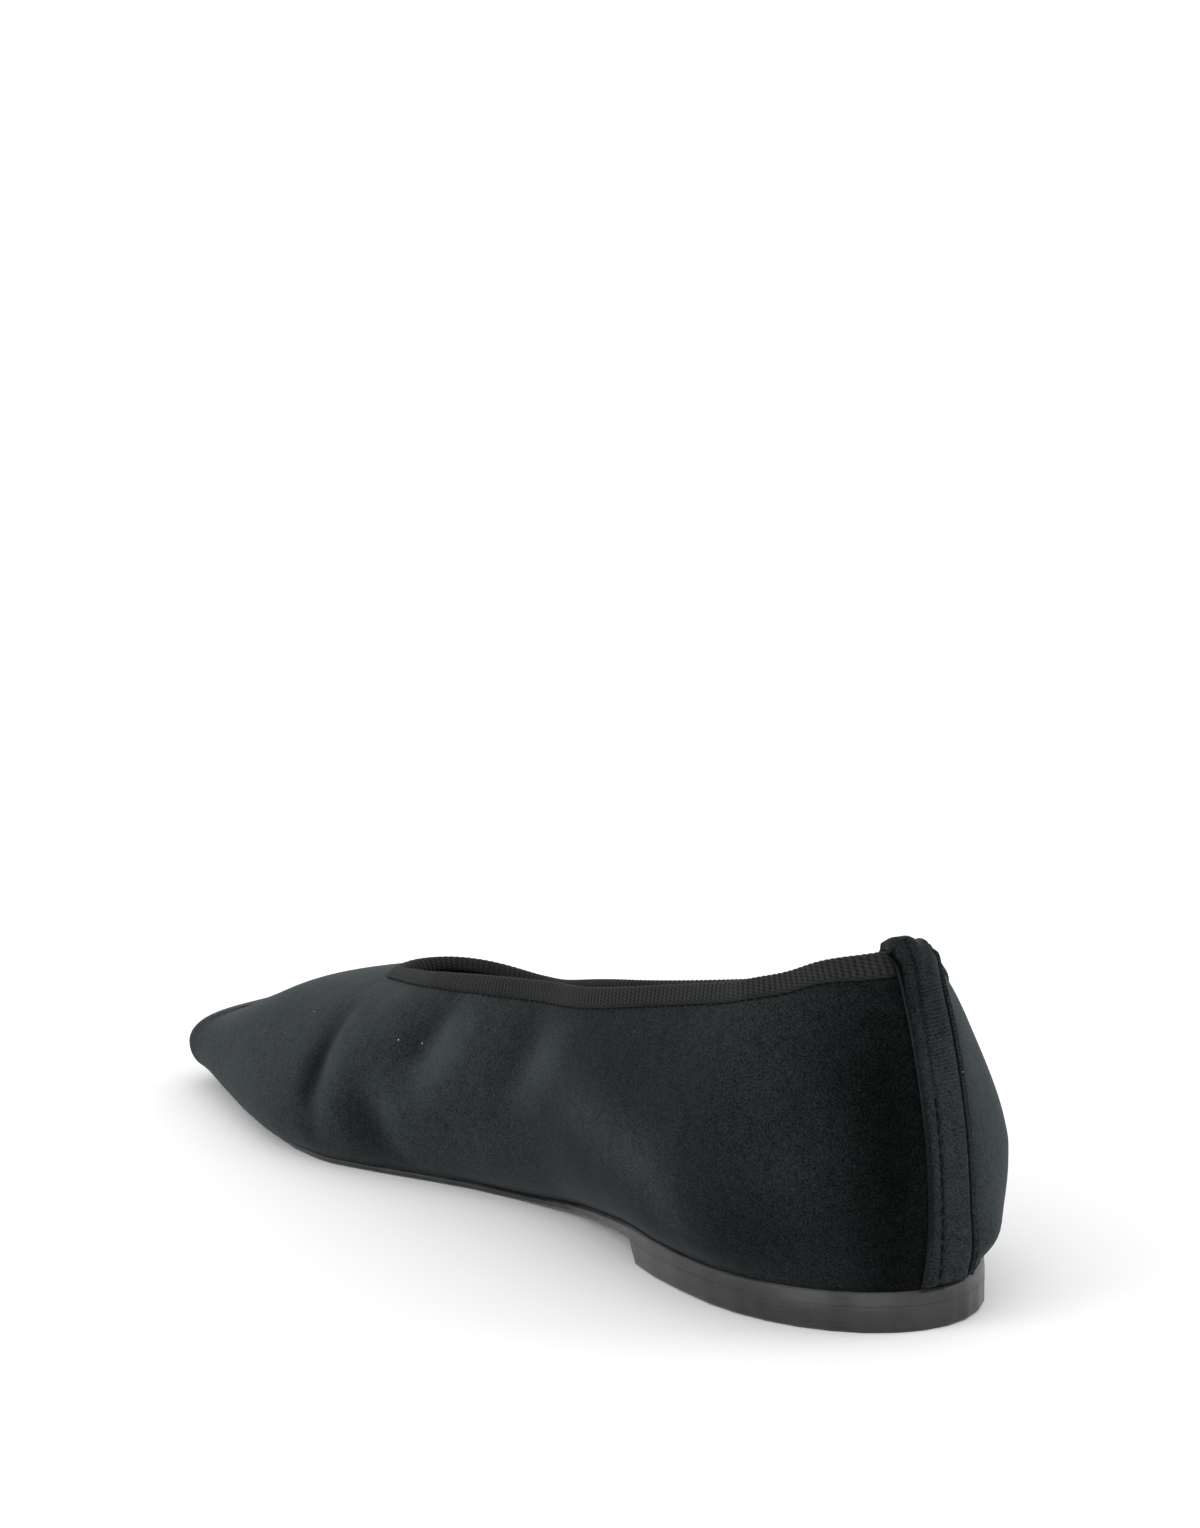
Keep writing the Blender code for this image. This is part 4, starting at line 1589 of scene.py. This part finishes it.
@dataclass
class SoleUnit:
    """The sock inside, the outsole and the low heel."""

    sock_round: float = 0.0008
    edge_break: float = 0.00016
    heel_end: float = 70.5
    outsole_joint: Joint = Joint(edge=5.0, side=5.5, at=5.0)
    heel_joint: Joint = Joint(edge=4.7, side=4.2, at=4.98)
    ring_slack: float = 0.06
    ring_gap: float = 1.2
    seam: float = 0.08
    joint_chamfer: float = 0.05
    forepart_inset: float = 0.00075
    toe_inset: float = 0.0015
    forepart_dark: float = 0.34
    sock: bpy.types.Object = field(init=False)
    outsole: bpy.types.Object = field(init=False)
    heel: bpy.types.Object = field(init=False)

    def draw_in(self, piece: bpy.types.Object) -> None:
        """Sets the forepart's edge in under the velvet.

        Args:
            piece: the outsole.
        """
        points = Bench.points(piece)
        u = PLACE.shoe(points)[:, 0]
        out = Bench.normals(piece) * np.array([1.0, 1.0, 0.0])
        out /= np.maximum(np.linalg.norm(out, axis=1), 0.4)[:, None]
        inset = self.forepart_inset * smooth_step(u, 118.0, 165.0)
        inset += self.toe_inset * smooth_step(u, 170.0, 205.0)
        Bench.set_points(piece, points - out * inset[:, None])

    def close_joint(self, piece: bpy.types.Object, joint: Joint) -> None:
        """Draws a piece's edge ring out and up or down, until only a hairline of the joint is left.

        Args:
            piece: the outsole or the heel.
            joint: the joint's heights on it.
        """
        points = Bench.points(piece)
        shoe = PLACE.shoe(points)
        behind = shoe[:, 0] < self.heel_end
        inner = np.where(behind & (np.abs(shoe[:, 2] - joint.edge) < self.ring_slack))[0]
        outer = np.where(behind & (np.abs(shoe[:, 2] - joint.side) < self.ring_slack))[0]
        for n in inner:
            near = outer[np.argmin(np.linalg.norm(shoe[outer, :2] - shoe[n, :2], axis=1))]
            if np.linalg.norm(shoe[near, :2] - shoe[n, :2]) < self.ring_gap:
                points[n, :2] += (points[near, :2] - points[n, :2]) * (1 - self.seam)
            points[n, 2] = joint.at * MM
        lean = 1.0 if joint.at > joint.side else -1.0
        points[outer, 2] = (joint.at - lean * self.joint_chamfer) * MM
        Bench.set_points(piece, points)

    @staticmethod
    def split_sides(piece: bpy.types.Object) -> None:
        """Splits the faces of the side wall, so that it can hold soft spots.

        Args:
            piece: the piece.
        """
        Bench.edit_faces(piece, lambda face: abs(face.normal.z) < 0.6)
        bpy.ops.mesh.subdivide(number_cuts=3)
        bpy.ops.object.mode_set(mode="OBJECT")

    def edge_light_and_tone(self, piece: bpy.types.Object) -> None:
        """Stores where an edge is painted lighter or darker: painted highlights of the lamps near the heel's
        top, darker places, and a darker forepart.

        Args:
            piece: the piece.
        """
        shoe = PLACE.shoe(Bench.points(piece))
        darker = self.forepart_dark * smooth_step(shoe[:, 0], 75.0, 110.0)
        Bench.mark(piece, "edge_light_and_tone", sum(spot.shade(shoe) for spot in EDGE_LIGHT_AND_TONE_SPOTS) - darker)

    def build(self) -> None:
        """Rounds the CAD's sock, outsole and heel and breaks their edges."""
        self.sock = Bench.copy_of_node("insole", "sock")
        self.outsole = Bench.copy_of_node("outsole", "sole")
        self.heel = Bench.copy_of_node("heel", "heel_block")
        self.draw_in(self.outsole)
        self.close_joint(self.outsole, self.outsole_joint)
        self.close_joint(self.heel, self.heel_joint)
        for piece in (self.sock, self.outsole, self.heel):
            nudge(piece)
            width = self.sock_round if piece is self.sock else self.edge_break
            Bench.bevel(piece, width, math.radians(35))
            self.split_sides(piece)
            self.edge_light_and_tone(piece)
            Bench.smooth(piece, math.radians(40))

    def dress(self, sock: bpy.types.Material, sole: bpy.types.Material, heel: bpy.types.Material) -> None:
        """Gives each its finish.

        Args:
            sock: the sock's finish.
            sole: the outsole's.
            heel: the heel's.
        """
        for piece, node, slot, finish in (
            (self.sock, "insole", "sock_leather", sock),
            (self.outsole, "outsole", "sole_leather", sole),
            (self.heel, "heel", "heel_rubber", heel),
        ):
            piece.data.materials.append(finish)
            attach(piece, "root")
            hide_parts(node)


@dataclass(frozen=True)
class SoftLight:
    """A square soft light that looks at the shoe: its place and side in metres and its power in watts."""

    name: str
    at: Triple
    size: float
    power: float

    def hang(self) -> None:
        """Hangs the light."""
        lamp = bpy.data.lights.new(self.name, "AREA")
        lamp.shape = "SQUARE"
        lamp.size = self.size
        lamp.energy = self.power
        holder = bpy.data.objects.new(self.name, lamp)
        holder.location = self.at
        middle_of_shoe = Vector((0.0, 0.0, 0.03))
        holder.rotation_euler = (middle_of_shoe - Vector(self.at)).to_track_quat("-Z", "Y").to_euler()
        bpy.context.scene.collection.objects.link(holder)


@dataclass
class Studio:
    """The pale floor, the soft lights and the camera."""

    floor_size: float = 60.0
    floor_colour: Triple = (0.96, 0.96, 0.96)
    floor_roughness: float = 0.9
    sky: float = 1.06
    lights: tuple[SoftLight, ...] = (
        SoftLight("left_light", (1.6, -0.3, 0.7), 1.0, 9.0),
        SoftLight("right_light", (-1.3, 0.9, 0.8), 1.0, 7.0),
    )
    camera_at: Triple = (-535.96, 400.44, 220.19)
    turn: float = 31.88
    dip: float = 9.85
    roll: float = -2.976
    lens: float = 92.327

    def lay_floor(self) -> None:
        """Lays the floor."""
        Bench.clear_selection()
        bpy.ops.mesh.primitive_plane_add(size=self.floor_size, location=(0.0, 0.0, 0.0))
        floor = bpy.context.object
        floor.name = "floor"
        board = NodeBoard("pale_floor")
        darker = tuple(part * 0.99 for part in self.floor_colour)
        colour = board.blend(board.noise(6.0), darker, self.floor_colour)
        floor.data.materials.append(board.finish(colour, self.floor_roughness))

    def light_up(self) -> None:
        """Sets the soft sky and the lights."""
        world = bpy.data.worlds.new("studio")
        bpy.context.scene.world = world
        world.use_nodes = True
        background = world.node_tree.nodes["Background"]
        background.inputs["Color"].default_value = (1.0, 1.0, 1.0, 1.0)
        background.inputs["Strength"].default_value = self.sky
        for light in self.lights:
            light.hang()
        bpy.context.scene.view_settings.view_transform = "Standard"

    def place_camera(self) -> None:
        """Stands the camera where the photograph was taken from."""
        turn, dip = math.radians(self.turn), math.radians(self.dip)
        view = Vector((-math.sin(turn) * math.cos(dip), -math.cos(turn) * math.cos(dip), -math.sin(dip)))
        data = bpy.data.cameras.new("photo_camera")
        data.lens = self.lens
        data.sensor_width = 36.0
        data.clip_end = 200.0
        camera = bpy.data.objects.new("photo_camera", data)
        straight = view.to_track_quat("-Z", "Y").to_matrix().to_4x4()
        place = Matrix.Translation(PLACE.at(*self.camera_at))
        camera.matrix_world = place @ straight @ Matrix.Rotation(math.radians(self.roll), 4, "Z")
        bpy.context.scene.collection.objects.link(camera)
        bpy.context.scene.camera = camera

    def build(self) -> None:
        """Sets up the whole studio."""
        self.lay_floor()
        self.light_up()
        self.place_camera()


def main() -> None:
    """Builds the shoe's looks in order."""
    logging.basicConfig(level=logging.INFO, format="%(name)s: %(message)s")
    Studio().build()
    upper = VelvetUpper()
    upper.build()
    upper.dress(
        VelvetFinish().build(),
        LeatherFinish("lining_leather", (0.010, 0.010, 0.010), (0.024, 0.023, 0.022)).build(),
    )
    log.info("upper and lining")
    ribbon = RibbonBinding()
    ribbon.build(upper)
    ribbon.dress(RibbonFinish().build())
    log.info("ribbon binding")
    strip = BackStrip()
    strip.build(upper.skin)
    strip.dress(VelvetFinish(name="strip_pile", crease_pitch=strip.crease_pitch).build())
    thread = ThreadFinish().build()
    strip.sew(thread)
    ribbon.sew(thread)
    log.info("back strip and stitches")
    soles = SoleUnit()
    soles.build()
    soles.dress(
        LeatherFinish("sock_surface", (0.012, 0.0115, 0.011), (0.030, 0.029, 0.028)).build(),
        SoleEdgeFinish("sole_edge").build(),
        SoleEdgeFinish("heel_edge").build(),
    )
    log.info("sock, sole and heel")


if __name__ == "__main__":
    main()
